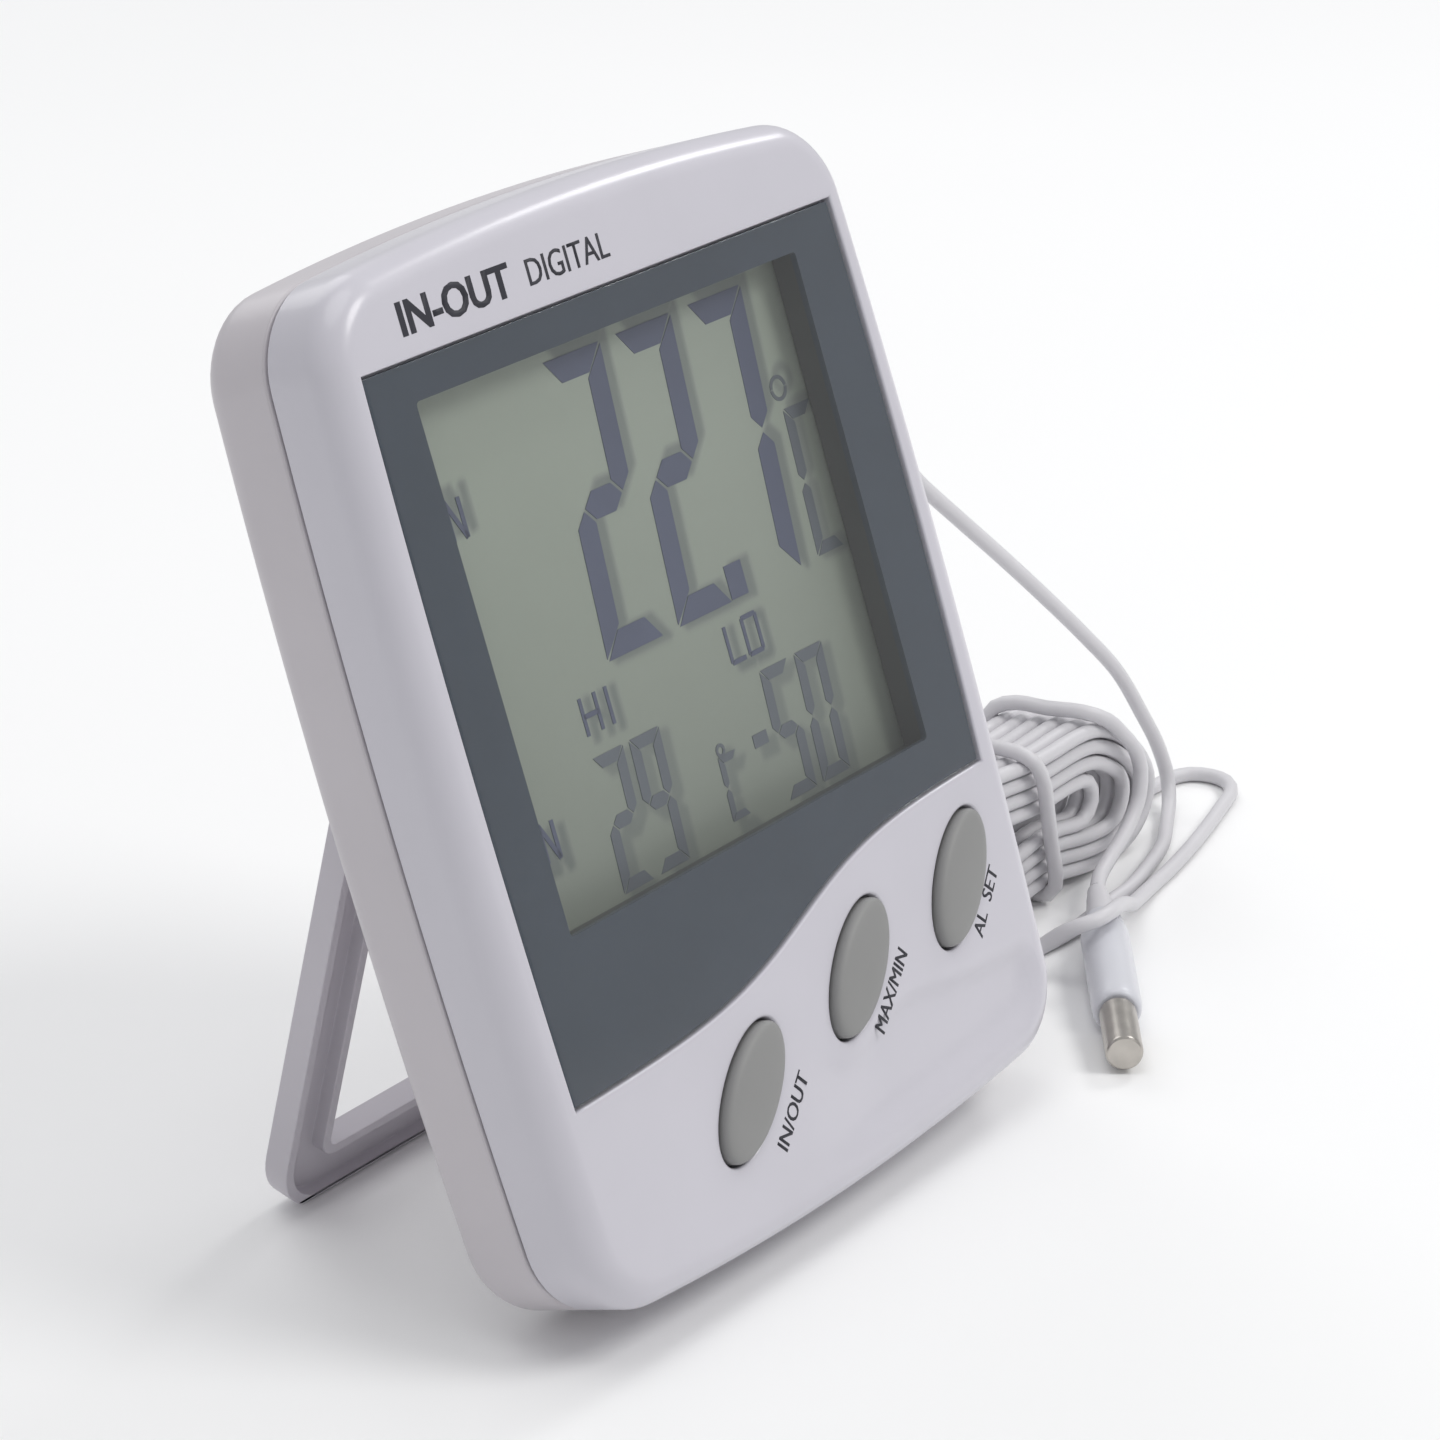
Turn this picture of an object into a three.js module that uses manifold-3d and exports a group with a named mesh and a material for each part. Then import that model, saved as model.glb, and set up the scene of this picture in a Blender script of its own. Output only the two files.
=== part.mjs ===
// Digital maximum minimum thermometer: a two-shell case with a large display, three push buttons,
// a folding stand, one AAA cell, and an outdoor probe on a thin lead that is wound into a hank.
// Millimetres, +Z up, +Y to the back. The case leans back on its open stand.
// The case is drawn upright in a frame of its own (X right, Y from the face into the back,
// Z up the face from its lowest edge) and the whole case group is then leaned back.
import * as THREE from 'three';
import { mergeVertices } from 'three/addons/utils/BufferGeometryUtils.js';
import Module from 'manifold-3d';

const wasm = await Module();
wasm.setup();

// ---- driving dimensions -------------------------------------------------------------------

const LEAN = THREE.MathUtils.degToRad(19.3); // how far the case leans back
const STAND_OPEN = THREE.MathUtils.degToRad(33.7); // stand from flat on the back to its stop
const CASE_AT = [0, -29.08, 5.421]; // where the case frame's origin stands, so that the foot line is z = 0

const CASE_WIDTH = 92;
const CASE_HEIGHT = 116.4;
const CASE_DEPTH = 18.9;
const SIDE_BOW = 1.8; // the sides bulge by this much at mid height
const END_BOW = 2.6; // the top and bottom edges bulge by this much at mid width
const CORNER_RADIUS = 9;
const FACE_FILLET = 4;
const BACK_FILLET = 3;
const WALL = 2;
const FACE_WALL = 2.4;
const PARTING = 9.45; // depth of the parting line between the two shells
const GAP = 0.3; // clearance between neighbouring pieces

const WINDOW_TOP = 104.3; // top edge of the display window on the face
const WINDOW_HALF = 40.5;
const WINDOW_BOW = 0.7;
const WINDOW_THICK = 1.2;
const WAVE = { middle: 31.5, rise: 5.7, centre: 2.5, reach: 16 }; // S-shaped lower edge of the window

const WELL = { left: -34.6, right: 33.7, bottom: 41.5, top: 100.8 }; // opening over the glass
const LCD = { half: 37.3, bottom: 38, top: 103.8, front: 5.3, thick: 2.2 };
const BOARD = { half: 42, bottom: 37.6, top: 101.3, front: 9.9, thick: 1.2 };
const KEY_BOARD = { left: -31, right: 40.5, bottom: 10.6, top: 33.6, front: 5, thick: 1 };

const BUTTON_LONG = 8.5; // half axes of the oval buttons
const BUTTON_SHORT = 3.9;
const BUTTON_PROUD = 1;
const BUTTONS = [
  { name: 'button_in_out', x: -13.9, z: 17.1, tilt: 42 },
  { name: 'button_max_min', x: 9.1, z: 22.9, tilt: 45 },
  { name: 'button_alarm_set', x: 30.7, z: 25.9, tilt: 48.5 },
];

const CELL = { radius: 5, length: 44.5, x: 1.4, y: 12.1, z: 22.2 };
const TRAY = { half: 28.7, bottom: 14.2, top: 30.2, wall: 1.4, front: 6.3 };
const DOOR = { half: 27.9, bottom: 14.9, top: 29.5, thick: 1.5 };

const HINGE = { y: 20.9, z: 63.8 };
const STAND = { outer: 37.4, arm: 7.2, length: 60.57, bar: 7.6, front: 1.7, back: 1.6, corner: 8 };
const EAR = { inner: 37.75, outer: 40.5, half: 4.6, radius: 2.3 };
const STUB = { radius: 1.2, end: 40 };
const STUB_BORE = 1.55;

const CASE_SCREWS = [
  { name: 'case_screw_top_left', x: -35.5, z: 108.8 },
  { name: 'case_screw_top_right', x: 35.5, z: 108.8 },
  { name: 'case_screw_bottom_left', x: -24, z: 6.6 },
  { name: 'case_screw_bottom_right', x: 24, z: 6.6 },
];
const BOARD_SCREWS = [
  { name: 'board_screw_1', x: -40.2, z: 84 },
  { name: 'board_screw_2', x: 40.2, z: 84 },
  { name: 'board_screw_3', x: -40.2, z: 49 },
  { name: 'board_screw_4', x: 40.2, z: 49 },
];

const SWITCH = { x: 19, z: 47, slot: 8, travel: 2 };
const BUZZER = { x: -17, z: 84, radius: 9 };
const VENT = { x: 24, z: 98, count: 5, pitch: 3, length: 14, width: 1.4 };

const EXIT = { y: 13, z: 71.25 }; // the lead leaves the right-hand side wall here
const GROMMET = { bore: 1.3, neck: 2.2, flange: 3, nose: 8 };

const CORD_RADIUS = 1;
const PROBE_BODY_RADIUS = 3.1;

// ---- materials ----------------------------------------------------------------------------

const material = (color, roughness, metalness = 0) =>
  new THREE.MeshStandardMaterial({ color, roughness, metalness });
const shellPlastic = material(0xd6d5de, 0.4);
const standPlastic = material(0xcfced6, 0.45);
const keyPlastic = material(0x8e8f8d, 0.5);
const windowPlastic = material(0x515b66, 0.12);
const glass = material(0x8b9585, 0.25);
const darkPlastic = material(0x4a4c48, 0.6);
const boardLaminate = material(0x2f6b45, 0.55);
const rubber = material(0x9a9aa0, 0.8);
const epoxy = material(0x16161a, 0.45);
const steel = material(0xb9bcc0, 0.3, 1);
const brass = material(0xc9a95e, 0.35, 1);
const nickel = material(0xaba59b, 0.3, 1);
const cellSleeve = material(0x3f5f8c, 0.4);
const cordJacket = material(0xd9d9dc, 0.5);

// ---- shape helpers ------------------------------------------------------------------------

function solid(geometry) {
  const bare = geometry.clone();
  bare.deleteAttribute('normal');
  bare.deleteAttribute('uv');
  const merged = mergeVertices(bare, 1e-4);
  return new wasm.Manifold(
    new wasm.Mesh({
      numProp: 3,
      vertProperties: new Float32Array(merged.attributes.position.array),
      triVerts: new Uint32Array(merged.index.array),
    }),
  );
}

function geometryOf(body) {
  const mesh = body.getMesh();
  const geometry = new THREE.BufferGeometry();
  geometry.setAttribute('position', new THREE.BufferAttribute(mesh.vertProperties, 3));
  geometry.setIndex(new THREE.BufferAttribute(mesh.triVerts, 1));
  geometry.computeVertexNormals();
  return geometry;
}

function join(first, ...rest) {
  return rest.reduce((sum, body) => sum.add(body), first);
}

function cut(first, ...rest) {
  return rest.reduce((left, body) => left.subtract(body), first);
}

function block([x0, x1], [y0, y1], [z0, z1]) {
  const geometry = new THREE.BoxGeometry(x1 - x0, y1 - y0, z1 - z0);
  return solid(geometry.translate((x0 + x1) / 2, (y0 + y1) / 2, (z0 + z1) / 2));
}

// A flat outline in X and Z, given depth along Y.
function plate(shape, y0, y1, curveSegments = 8) {
  const geometry = new THREE.ExtrudeGeometry(shape, { depth: y1 - y0, bevelEnabled: false, curveSegments });
  return solid(geometry.rotateX(Math.PI / 2).translate(0, y1, 0));
}

// An outline in Y and Z (drawn as x = y, y = z), given width along X.
function profile(shape, x0, x1, curveSegments = 8) {
  const geometry = new THREE.ExtrudeGeometry(shape, { depth: x1 - x0, bevelEnabled: false, curveSegments });
  return solid(geometry.rotateY(Math.PI / 2).rotateX(Math.PI / 2).translate(x0, 0, 0));
}

function rod(radius, y0, y1, x, z, sides = 20) {
  const geometry = new THREE.CylinderGeometry(radius, radius, y1 - y0, sides);
  return solid(geometry.translate(x, (y0 + y1) / 2, z));
}

function crossRod(radius, x0, x1, y, z, sides = 20) {
  const geometry = new THREE.CylinderGeometry(radius, radius, x1 - x0, sides);
  return solid(geometry.rotateZ(Math.PI / 2).translate((x0 + x1) / 2, y, z));
}

function turned(points, sides = 20) {
  return new THREE.LatheGeometry(points.map(([r, y]) => new THREE.Vector2(r, y)), sides);
}

function ovalShape(x, z, long, short, tilt) {
  const shape = new THREE.Shape();
  shape.absellipse(x, z, long, short, 0, Math.PI * 2, false, THREE.MathUtils.degToRad(tilt));
  return shape;
}

function roundedRectangle(x0, x1, z0, z1, radius) {
  const shape = new THREE.Shape();
  shape.moveTo(x0 + radius, z0);
  shape.lineTo(x1 - radius, z0);
  shape.absarc(x1 - radius, z0 + radius, radius, -Math.PI / 2, 0);
  shape.lineTo(x1, z1 - radius);
  shape.absarc(x1 - radius, z1 - radius, radius, 0, Math.PI / 2);
  shape.lineTo(x0 + radius, z1);
  shape.absarc(x0 + radius, z1 - radius, radius, Math.PI / 2, Math.PI);
  shape.lineTo(x0, z0 + radius);
  shape.absarc(x0 + radius, z0 + radius, radius, Math.PI, Math.PI * 1.5);
  return shape;
}

// ---- the case outline ---------------------------------------------------------------------

const SIDE_STEPS = 6;
const CORNER_STEPS = 6;

// A rounded rectangle whose four sides bulge, as points with their outward normals.
function caseOutline() {
  const halfWidth = CASE_WIDTH / 2;
  const halfHeight = CASE_HEIGHT / 2;
  const straight = [halfWidth - CORNER_RADIUS, halfHeight - CORNER_RADIUS];
  const flat = [];
  for (let corner = 0; corner < 4; corner += 1) {
    const start = (corner * Math.PI) / 2;
    const centre = new THREE.Vector2(
      straight[0] * Math.sign(Math.cos(start + Math.PI / 4)),
      straight[1] * Math.sign(Math.sin(start + Math.PI / 4)),
    );
    for (let step = 0; step <= CORNER_STEPS; step += 1) {
      const angle = start + (step / CORNER_STEPS) * (Math.PI / 2);
      flat.push(new THREE.Vector2(Math.cos(angle), Math.sin(angle)).multiplyScalar(CORNER_RADIUS).add(centre));
    }
    const along = new THREE.Vector2(-Math.sin(start + Math.PI / 2), Math.cos(start + Math.PI / 2));
    const run = 2 * (corner % 2 === 0 ? straight[0] : straight[1]);
    const from = flat[flat.length - 1].clone();
    for (let step = 1; step < SIDE_STEPS; step += 1) {
      flat.push(from.clone().addScaledVector(along, (run * step) / SIDE_STEPS));
    }
  }
  const bowed = flat.map(
    ({ x, y }) =>
      new THREE.Vector2(
        x * (1 - (SIDE_BOW / halfWidth) * (y / halfHeight) ** 2),
        y * (1 - (END_BOW / halfHeight) * (x / halfWidth) ** 2),
      ),
  );
  return bowed.map((point, i) => {
    const before = bowed[(i + bowed.length - 1) % bowed.length];
    const after = bowed[(i + 1) % bowed.length];
    const tangent = after.clone().sub(before).normalize();
    return { point, normal: new THREE.Vector2(tangent.y, -tangent.x) };
  });
}

const OUTLINE = caseOutline();

// A closed body through rings of the case outline, each at its depth and pulled in by its inset.
function lofted(levels) {
  const positions = [];
  const index = [];
  const count = OUTLINE.length;
  for (const { y, inset } of levels) {
    for (const { point, normal } of OUTLINE) {
      positions.push(point.x - normal.x * inset, y, point.y - normal.y * inset + CASE_HEIGHT / 2);
    }
  }
  for (let level = 0; level + 1 < levels.length; level += 1) {
    for (let i = 0; i < count; i += 1) {
      const a = level * count + i;
      const b = level * count + ((i + 1) % count);
      index.push(a, a + count, b, b, a + count, b + count);
    }
  }
  const last = (levels.length - 1) * count;
  const frontCentre = positions.length / 3;
  positions.push(0, levels[0].y, CASE_HEIGHT / 2);
  positions.push(0, levels[levels.length - 1].y, CASE_HEIGHT / 2);
  for (let i = 0; i < count; i += 1) {
    const next = (i + 1) % count;
    index.push(frontCentre, i, next);
    index.push(frontCentre + 1, last + next, last + i);
  }
  const geometry = new THREE.BufferGeometry();
  geometry.setAttribute('position', new THREE.Float32BufferAttribute(positions, 3));
  geometry.setIndex(index);
  return solid(geometry);
}

// Levels of a quarter-round edge; out is +1 where the body grows with depth and -1 where it shrinks.
function roundedEdge(y, radius, base, out, steps = 4) {
  const levels = [];
  for (let step = 0; step <= steps; step += 1) {
    const angle = ((step / steps) * Math.PI) / 2;
    const turn = out > 0 ? angle : Math.PI / 2 - angle;
    const depth = out > 0 ? radius * (1 - Math.cos(turn)) : radius * Math.cos(turn);
    levels.push({ y: y + depth, inset: base + radius * (1 - Math.sin(turn)) });
  }
  return levels;
}

// ---- front shell and what sits on its face ------------------------------------------------

function windowShape(grow) {
  const half = WINDOW_HALF + grow;
  const top = WINDOW_TOP + grow;
  const wave = (x) => WAVE.middle + WAVE.rise * Math.tanh((x - WAVE.centre) / WAVE.reach) - grow;
  const shape = new THREE.Shape();
  shape.moveTo(-half, top);
  shape.quadraticCurveTo(-half - 2 * WINDOW_BOW, (top + wave(-half)) / 2, -half, wave(-half));
  const steps = 14;
  for (let step = 1; step <= steps; step += 1) {
    const x = -half + (2 * half * step) / steps;
    shape.lineTo(x, wave(x));
  }
  shape.quadraticCurveTo(half + 2 * WINDOW_BOW, (top + wave(half)) / 2, half, top);
  return shape;
}

function frontCase() {
  const outside = lofted([...roundedEdge(0, FACE_FILLET, 0, 1, 5), { y: PARTING - GAP / 2, inset: 0 }]);
  const inside = lofted([
    ...roundedEdge(FACE_WALL, FACE_FILLET - WALL, WALL, 1, 2),
    { y: PARTING + 1, inset: WALL },
  ]);
  const post = (radius, x, z) => rod(radius, FACE_WALL - 0.5, PARTING - GAP, x, z);
  const shell = join(
    cut(outside, inside),
    ...CASE_SCREWS.map(({ x, z }) => post(3, x, z)),
    ...BOARD_SCREWS.map(({ x, z }) => post(1.9, x, z)),
  );
  return cut(
    shell,
    plate(windowShape(GAP), -1, WINDOW_THICK + GAP + 0.1),
    block([WELL.left - 1.6, WELL.right + 1.6], [-1, FACE_WALL + 1], [WELL.bottom - 1.6, WELL.top + 1.6]),
    ...BUTTONS.map(({ x, z, tilt }) =>
      plate(ovalShape(x, z, BUTTON_LONG + 0.35, BUTTON_SHORT + 0.35, tilt), -1, FACE_WALL + 1, 10),
    ),
    ...CASE_SCREWS.map(({ x, z }) => rod(1.5, 3.6, PARTING + 1, x, z, 12)),
    ...BOARD_SCREWS.map(({ x, z }) => rod(1.05, 4.4, PARTING + 1, x, z, 12)),
  );
}

function displayWindow() {
  return plate(windowShape(0), 0.1, 0.1 + WINDOW_THICK);
}

function lcdFrame() {
  const { left, right, bottom, top } = WELL;
  const flange = block([-37.8, 37.8], [FACE_WALL + GAP, LCD.front - GAP], [bottom - 3, top + 3]);
  const lip = block([left - 1.2, right + 1.2], [WINDOW_THICK + 0.5, LCD.front - GAP], [bottom - 1.2, top + 1.2]);
  return cut(join(flange, lip), block([left, right], [0, 8], [bottom, top]));
}

function lcdPanel() {
  const { half, bottom, top, front, thick } = LCD;
  const lower = block([-half, half], [front + thick / 2, front + thick], [bottom, top]);
  const upper = block([-half, half], [front, front + thick / 2 + 0.1], [bottom + 2.6, top - 2.6]);
  return join(lower, upper);
}

function zebraStrip(z) {
  return block([-34, 34], [LCD.front + LCD.thick + GAP, BOARD.front - GAP], [z - 1, z + 1]);
}

function button({ x, z, tilt }) {
  const geometry = new THREE.ExtrudeGeometry(ovalShape(x, z, BUTTON_LONG - 0.7, BUTTON_SHORT - 0.7, tilt), {
    depth: BUTTON_PROUD + 2.7,
    bevelThickness: 0.6,
    bevelSize: 0.7,
    bevelSegments: 2,
    curveSegments: 10,
  });
  geometry.rotateX(Math.PI / 2).translate(0, 3.1, 0);
  const flange = plate(ovalShape(x, z, BUTTON_LONG + 1.1, BUTTON_SHORT + 1.1, tilt), 2.7, 3.3, 10);
  const cap = solid(geometry).intersect(block([-60, 60], [-9, 3], [-9, 60]));
  return join(cap, flange);
}

function keypadMat() {
  return block([KEY_BOARD.left, KEY_BOARD.right], [4.1, 4.7], [KEY_BOARD.bottom, KEY_BOARD.top]);
}

// ---- electronics --------------------------------------------------------------------------

function circuitBoard() {
  const { half, bottom, top, front, thick } = BOARD;
  return cut(
    plate(roundedRectangle(-half, half, bottom, top, 1.5), front, front + thick),
    ...BOARD_SCREWS.map(({ x, z }) => rod(1.05, front - 1, front + thick + 1, x, z, 12)),
  );
}

function keyBoard() {
  const { left, right, bottom, top, front, thick } = KEY_BOARD;
  return plate(roundedRectangle(left, right, bottom, top, 1), front, front + thick);
}

// A flat flexible strip that folds from the back of the key board to the main board.
function ribbonCable() {
  const shape = new THREE.Shape();
  shape.moveTo(6.3, 32);
  shape.lineTo(6.3, 35.6);
  shape.quadraticCurveTo(6.6, 36.9, 8, 36.9);
  shape.lineTo(11.4, 36.9);
  shape.lineTo(11.4, 41);
  shape.lineTo(11.9, 41);
  shape.lineTo(11.9, 36.4);
  shape.lineTo(8, 36.4);
  shape.quadraticCurveTo(7, 36.4, 6.8, 35.6);
  shape.lineTo(6.8, 32);
  return profile(shape, 31.2, 39.2, 4);
}

function chipBlob() {
  const geometry = turned(
    [[0, 0], [7, 0], [6.4, 0.7], [4.6, 1.2], [0, 1.5]],
    18,
  );
  return geometry.translate(-8, BOARD.front + BOARD.thick + GAP, 62);
}

function quartzCrystal() {
  const y = BOARD.front + BOARD.thick + GAP + 1.5;
  return geometryOf(crossRod(1.5, 4, 12, y, 70, 14));
}

function buzzerDisc() {
  return turned([[0, 0], [BUZZER.radius, 0], [BUZZER.radius, 0.6], [6.4, 0.6], [6.4, 1], [0, 1]], 24)
    .translate(BUZZER.x, 14.9, BUZZER.z);
}

function roomSensor() {
  const y = 14.2;
  const lead = (x) => block([x - 0.3, x + 0.3], [y - 0.3, y + 0.3], [91.5, 96.4]);
  const foot = block([VENT.x - 1.6, VENT.x + 1.6], [BOARD.front + BOARD.thick + GAP, y + 0.3], [90.6, 92]);
  const bead = solid(new THREE.SphereGeometry(1.3, 12, 8).translate(VENT.x, y, 97));
  return join(foot, lead(VENT.x - 0.8), lead(VENT.x + 0.8), bead);
}

function switchBody() {
  const { x, z } = SWITCH;
  const body = block([x - 4.4, x + 4.4], [11.4, 15.6], [z - 2, z + 2]);
  return cut(body, block([x - 3.4, x + 3.4], [13.4, 17], [z - 1.1, z + 1.1]));
}

function unitSwitch() {
  const { x, z, slot } = SWITCH;
  const left = x - slot / 2 + 0.9;
  const lever = block([left, left + 3.4], [13.8, CASE_DEPTH + 0.6], [z - 0.8, z + 0.8]);
  const grip = [0.5, 1.7, 2.9].map((step) =>
    block([left + step - 0.25, left + step + 0.25], [CASE_DEPTH + 0.5, CASE_DEPTH + 0.9], [z - 0.8, z + 0.8]),
  );
  return join(lever, ...grip);
}

function boardScrew({ x, z }) {
  const under = BOARD.front + BOARD.thick + GAP;
  const geometry = turned(
    [[0, 0], [0.7, 0.6], [0.7, 6.2], [1.8, 6.2], [1.8, 6.9], [1.2, 7.5], [0, 7.5]],
    12,
  );
  return geometry.translate(x, under - 6.2, z);
}

// ---- rear shell ---------------------------------------------------------------------------

function rearCover() {
  const outside = lofted([
    { y: PARTING + GAP / 2, inset: 0 },
    ...roundedEdge(CASE_DEPTH - BACK_FILLET, BACK_FILLET, 0, -1),
  ]);
  const inside = lofted([
    { y: PARTING - 1, inset: WALL },
    ...roundedEdge(CASE_DEPTH - WALL - 1.5, 1.5, WALL, -1, 2),
  ]);
  const back = CASE_DEPTH - WALL;
  const boss = ({ x, z }) => rod(4, PARTING + GAP, back + 0.5, x, z);
  const tray = block([-TRAY.half, TRAY.half], [TRAY.front, back + 0.5], [TRAY.bottom, TRAY.top]);
  const ears = [-1, 1].map((side) => hingeEar(side));
  const shell = join(cut(outside, inside), ...CASE_SCREWS.map(boss), tray, ...ears);
  return cut(shell, ...rearOpenings());
}

function hingeEar(side) {
  const shape = new THREE.Shape();
  const base = CASE_DEPTH - 1;
  shape.moveTo(base, HINGE.z - EAR.half);
  shape.lineTo(base + 1, HINGE.z - EAR.half);
  shape.absarc(HINGE.y, HINGE.z, EAR.radius, -Math.PI / 2.4, Math.PI / 2.4, false);
  shape.lineTo(base + 1, HINGE.z + EAR.half);
  shape.lineTo(base, HINGE.z + EAR.half);
  return side > 0 ? profile(shape, EAR.inner, EAR.outer) : profile(shape, -EAR.outer, -EAR.inner);
}

function rearOpenings() {
  const { x, z, slot } = SWITCH;
  const holes = CASE_SCREWS.flatMap((screw) => [
    rod(1.6, PARTING - 1, CASE_DEPTH + 1, screw.x, screw.z, 12),
    rod(3, CASE_DEPTH - 3.2, CASE_DEPTH + 1, screw.x, screw.z),
  ]);
  const cellSpace = block(
    [-TRAY.half + TRAY.wall, TRAY.half - TRAY.wall],
    [TRAY.front + 0.6, CASE_DEPTH + 1],
    [TRAY.bottom + TRAY.wall + 0.4, TRAY.top - TRAY.wall - 0.4],
  );
  const doorSeat = block(
    [-DOOR.half - GAP, DOOR.half + GAP],
    [CASE_DEPTH - DOOR.thick - GAP, CASE_DEPTH + 1],
    [DOOR.bottom - GAP, DOOR.top + GAP],
  );
  const vents = Array.from({ length: VENT.count }, (_, i) =>
    block(
      [VENT.x - VENT.length / 2, VENT.x + VENT.length / 2],
      [CASE_DEPTH - 4, CASE_DEPTH + 1],
      [VENT.z - VENT.width / 2 - i * VENT.pitch, VENT.z + VENT.width / 2 - i * VENT.pitch],
    ),
  );
  const soundHoles = Array.from({ length: 7 }, (_, i) => {
    const angle = (i * Math.PI) / 3;
    const reach = i === 6 ? 0 : 4;
    return rod(0.8, CASE_DEPTH - 4, CASE_DEPTH + 1, BUZZER.x + reach * Math.cos(angle), BUZZER.z + reach * Math.sin(angle), 10);
  });
  const switchSlot = block([x - slot / 2, x + slot / 2], [CASE_DEPTH - 4, CASE_DEPTH + 1], [z - 1.4, z + 1.4]);
  const leadHole = crossRod(GROMMET.neck + GAP, 40, 50, EXIT.y, EXIT.z);
  const hinges = [-1, 1].map((side) =>
    crossRod(STUB_BORE, Math.min(side * 36, side * 42), Math.max(side * 36, side * 42), HINGE.y, HINGE.z, 16),
  );
  return [...holes, cellSpace, doorSeat, ...vents, ...soundHoles, switchSlot, leadHole, ...hinges];
}

function caseScrew({ x, z }) {
  const geometry = turned(
    [[0, 0], [1.1, 1.4], [1.1, 10.4], [2.5, 10.4], [2.5, 11.2], [1.7, 12], [0, 12.1]],
    16,
  );
  const screw = solid(geometry.translate(x, CASE_DEPTH - 3.2 + GAP - 10.4, z));
  const arm = (long, high) =>
    block([x - long, x + long], [CASE_DEPTH - 2.1, CASE_DEPTH], [z - high, z + high]);
  return cut(screw, arm(1.4, 0.3), arm(0.3, 1.4));
}

// ---- cell, contacts and door --------------------------------------------------------------

function batteryCell() {
  const { radius, length, x, y, z } = CELL;
  const half = length / 2;
  const geometry = turned(
    [[0, -half], [radius - 0.6, -half], [radius, -half + 0.6], [radius, half - 1.6],
      [radius - 0.6, half - 1], [1.9, half - 1], [1.9, half], [0, half]],
    24,
  );
  return geometry.rotateZ(-Math.PI / 2).translate(x, y, z);
}

function batteryPlate() {
  const inner = TRAY.half - TRAY.wall;
  return block([inner - 1, inner - 0.3], [CELL.y - 4.2, CELL.y + 4.4], [CELL.z - 4.4, CELL.z + 4.4]);
}

class ContactCoil extends THREE.Curve {
  getPoint(t, target = new THREE.Vector3()) {
    const turns = 3.5;
    const angle = t * turns * 2 * Math.PI;
    const radius = 3.6 - 1.6 * t;
    const x = -26.4 + t * 4.6;
    return target.set(x, CELL.y + radius * Math.cos(angle), CELL.z + radius * Math.sin(angle));
  }
}

function batterySpring() {
  const wire = new THREE.Shape();
  wire.absarc(0, 0, 0.32, 0, Math.PI * 2);
  return new THREE.ExtrudeGeometry(wire, { extrudePath: new ContactCoil(), steps: 56, curveSegments: 3 });
}

function batteryDoor() {
  const back = CASE_DEPTH - 0.05;
  const front = CASE_DEPTH - DOOR.thick;
  const panel = plate(roundedRectangle(-DOOR.half, DOOR.half, DOOR.bottom, DOOR.top, 1), front, back, 4);
  const dent = block([-5, 5], [back - 0.6, back + 1], [DOOR.top - 4.6, DOOR.top - 1.8]);
  return cut(panel, dent);
}

// ---- stand --------------------------------------------------------------------------------

// Drawn about the hinge axis: Z down the legs is negative, Y = -front faces the case back.
function standShape(inset) {
  const outer = STAND.outer - inset;
  const inner = STAND.outer - STAND.arm + inset;
  const foot = -STAND.length + inset;
  const bar = -STAND.length + STAND.bar - inset;
  const top = inset > 0 ? -4.5 : 4;
  const round = STAND.corner - inset;
  const shape = new THREE.Shape();
  shape.moveTo(-outer, top);
  shape.lineTo(-outer, foot + round);
  shape.absarc(-outer + round, foot + round, round, Math.PI, Math.PI * 1.5);
  shape.lineTo(outer - round, foot);
  shape.absarc(outer - round, foot + round, round, -Math.PI / 2, 0);
  shape.lineTo(outer, top);
  shape.lineTo(inner, top);
  shape.lineTo(inner, bar);
  shape.lineTo(-inner, bar);
  shape.lineTo(-inner, top);
  return shape;
}

function kickstand() {
  const { front, back, length, outer } = STAND;
  const heel = 3; // the heel bears on the case back when the stand is open
  const side = new THREE.Shape();
  const halfThick = (front + back) / 2;
  const middle = (back - front) / 2;
  side.moveTo(-front, front * Math.tan(STAND_OPEN / 2));
  side.lineTo(-front, -length + halfThick);
  side.absarc(middle, -length + halfThick, halfThick, Math.PI, Math.PI * 2);
  side.lineTo(back, 0.8);
  side.lineTo(0.9, heel - 0.4);
  side.lineTo(-front + heel * Math.sin(STAND_OPEN) - 0.1, front * Math.tan(STAND_OPEN / 2) + heel * Math.cos(STAND_OPEN) - 0.6);
  const frame = plate(standShape(0), -4, 4, 6).intersect(profile(side, -outer - 1, outer + 1, 5));
  const stubs = [-1, 1].map((way) => {
    const reach = [way * (outer - 0.5), way * STUB.end].sort((a, b) => a - b);
    return crossRod(STUB.radius, reach[0], reach[1], 0, 0, 14);
  });
  return join(cut(frame, plate(standShape(1.3), -front - 1, 0.1, 6)), ...stubs);
}

// ---- lead and probe -----------------------------------------------------------------------

const CASE_SIDE = CASE_WIDTH / 2; // the bulge is greatest near the lead's height

function cableGrommet() {
  const { bore, neck, flange, nose } = GROMMET;
  const inside = -WALL - 1.2;
  const geometry = turned([
    [bore, inside], [flange, inside], [flange, -WALL - 0.5], [neck, -WALL - 0.5], [neck, GAP],
    [flange, GAP], [flange, 1.1], [2.5, 2], [1.9, nose], [bore, nose], [bore, inside],
  ], 18);
  return geometry.rotateZ(-Math.PI / 2).translate(CASE_SIDE - 0.1, EXIT.y, EXIT.z);
}

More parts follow.
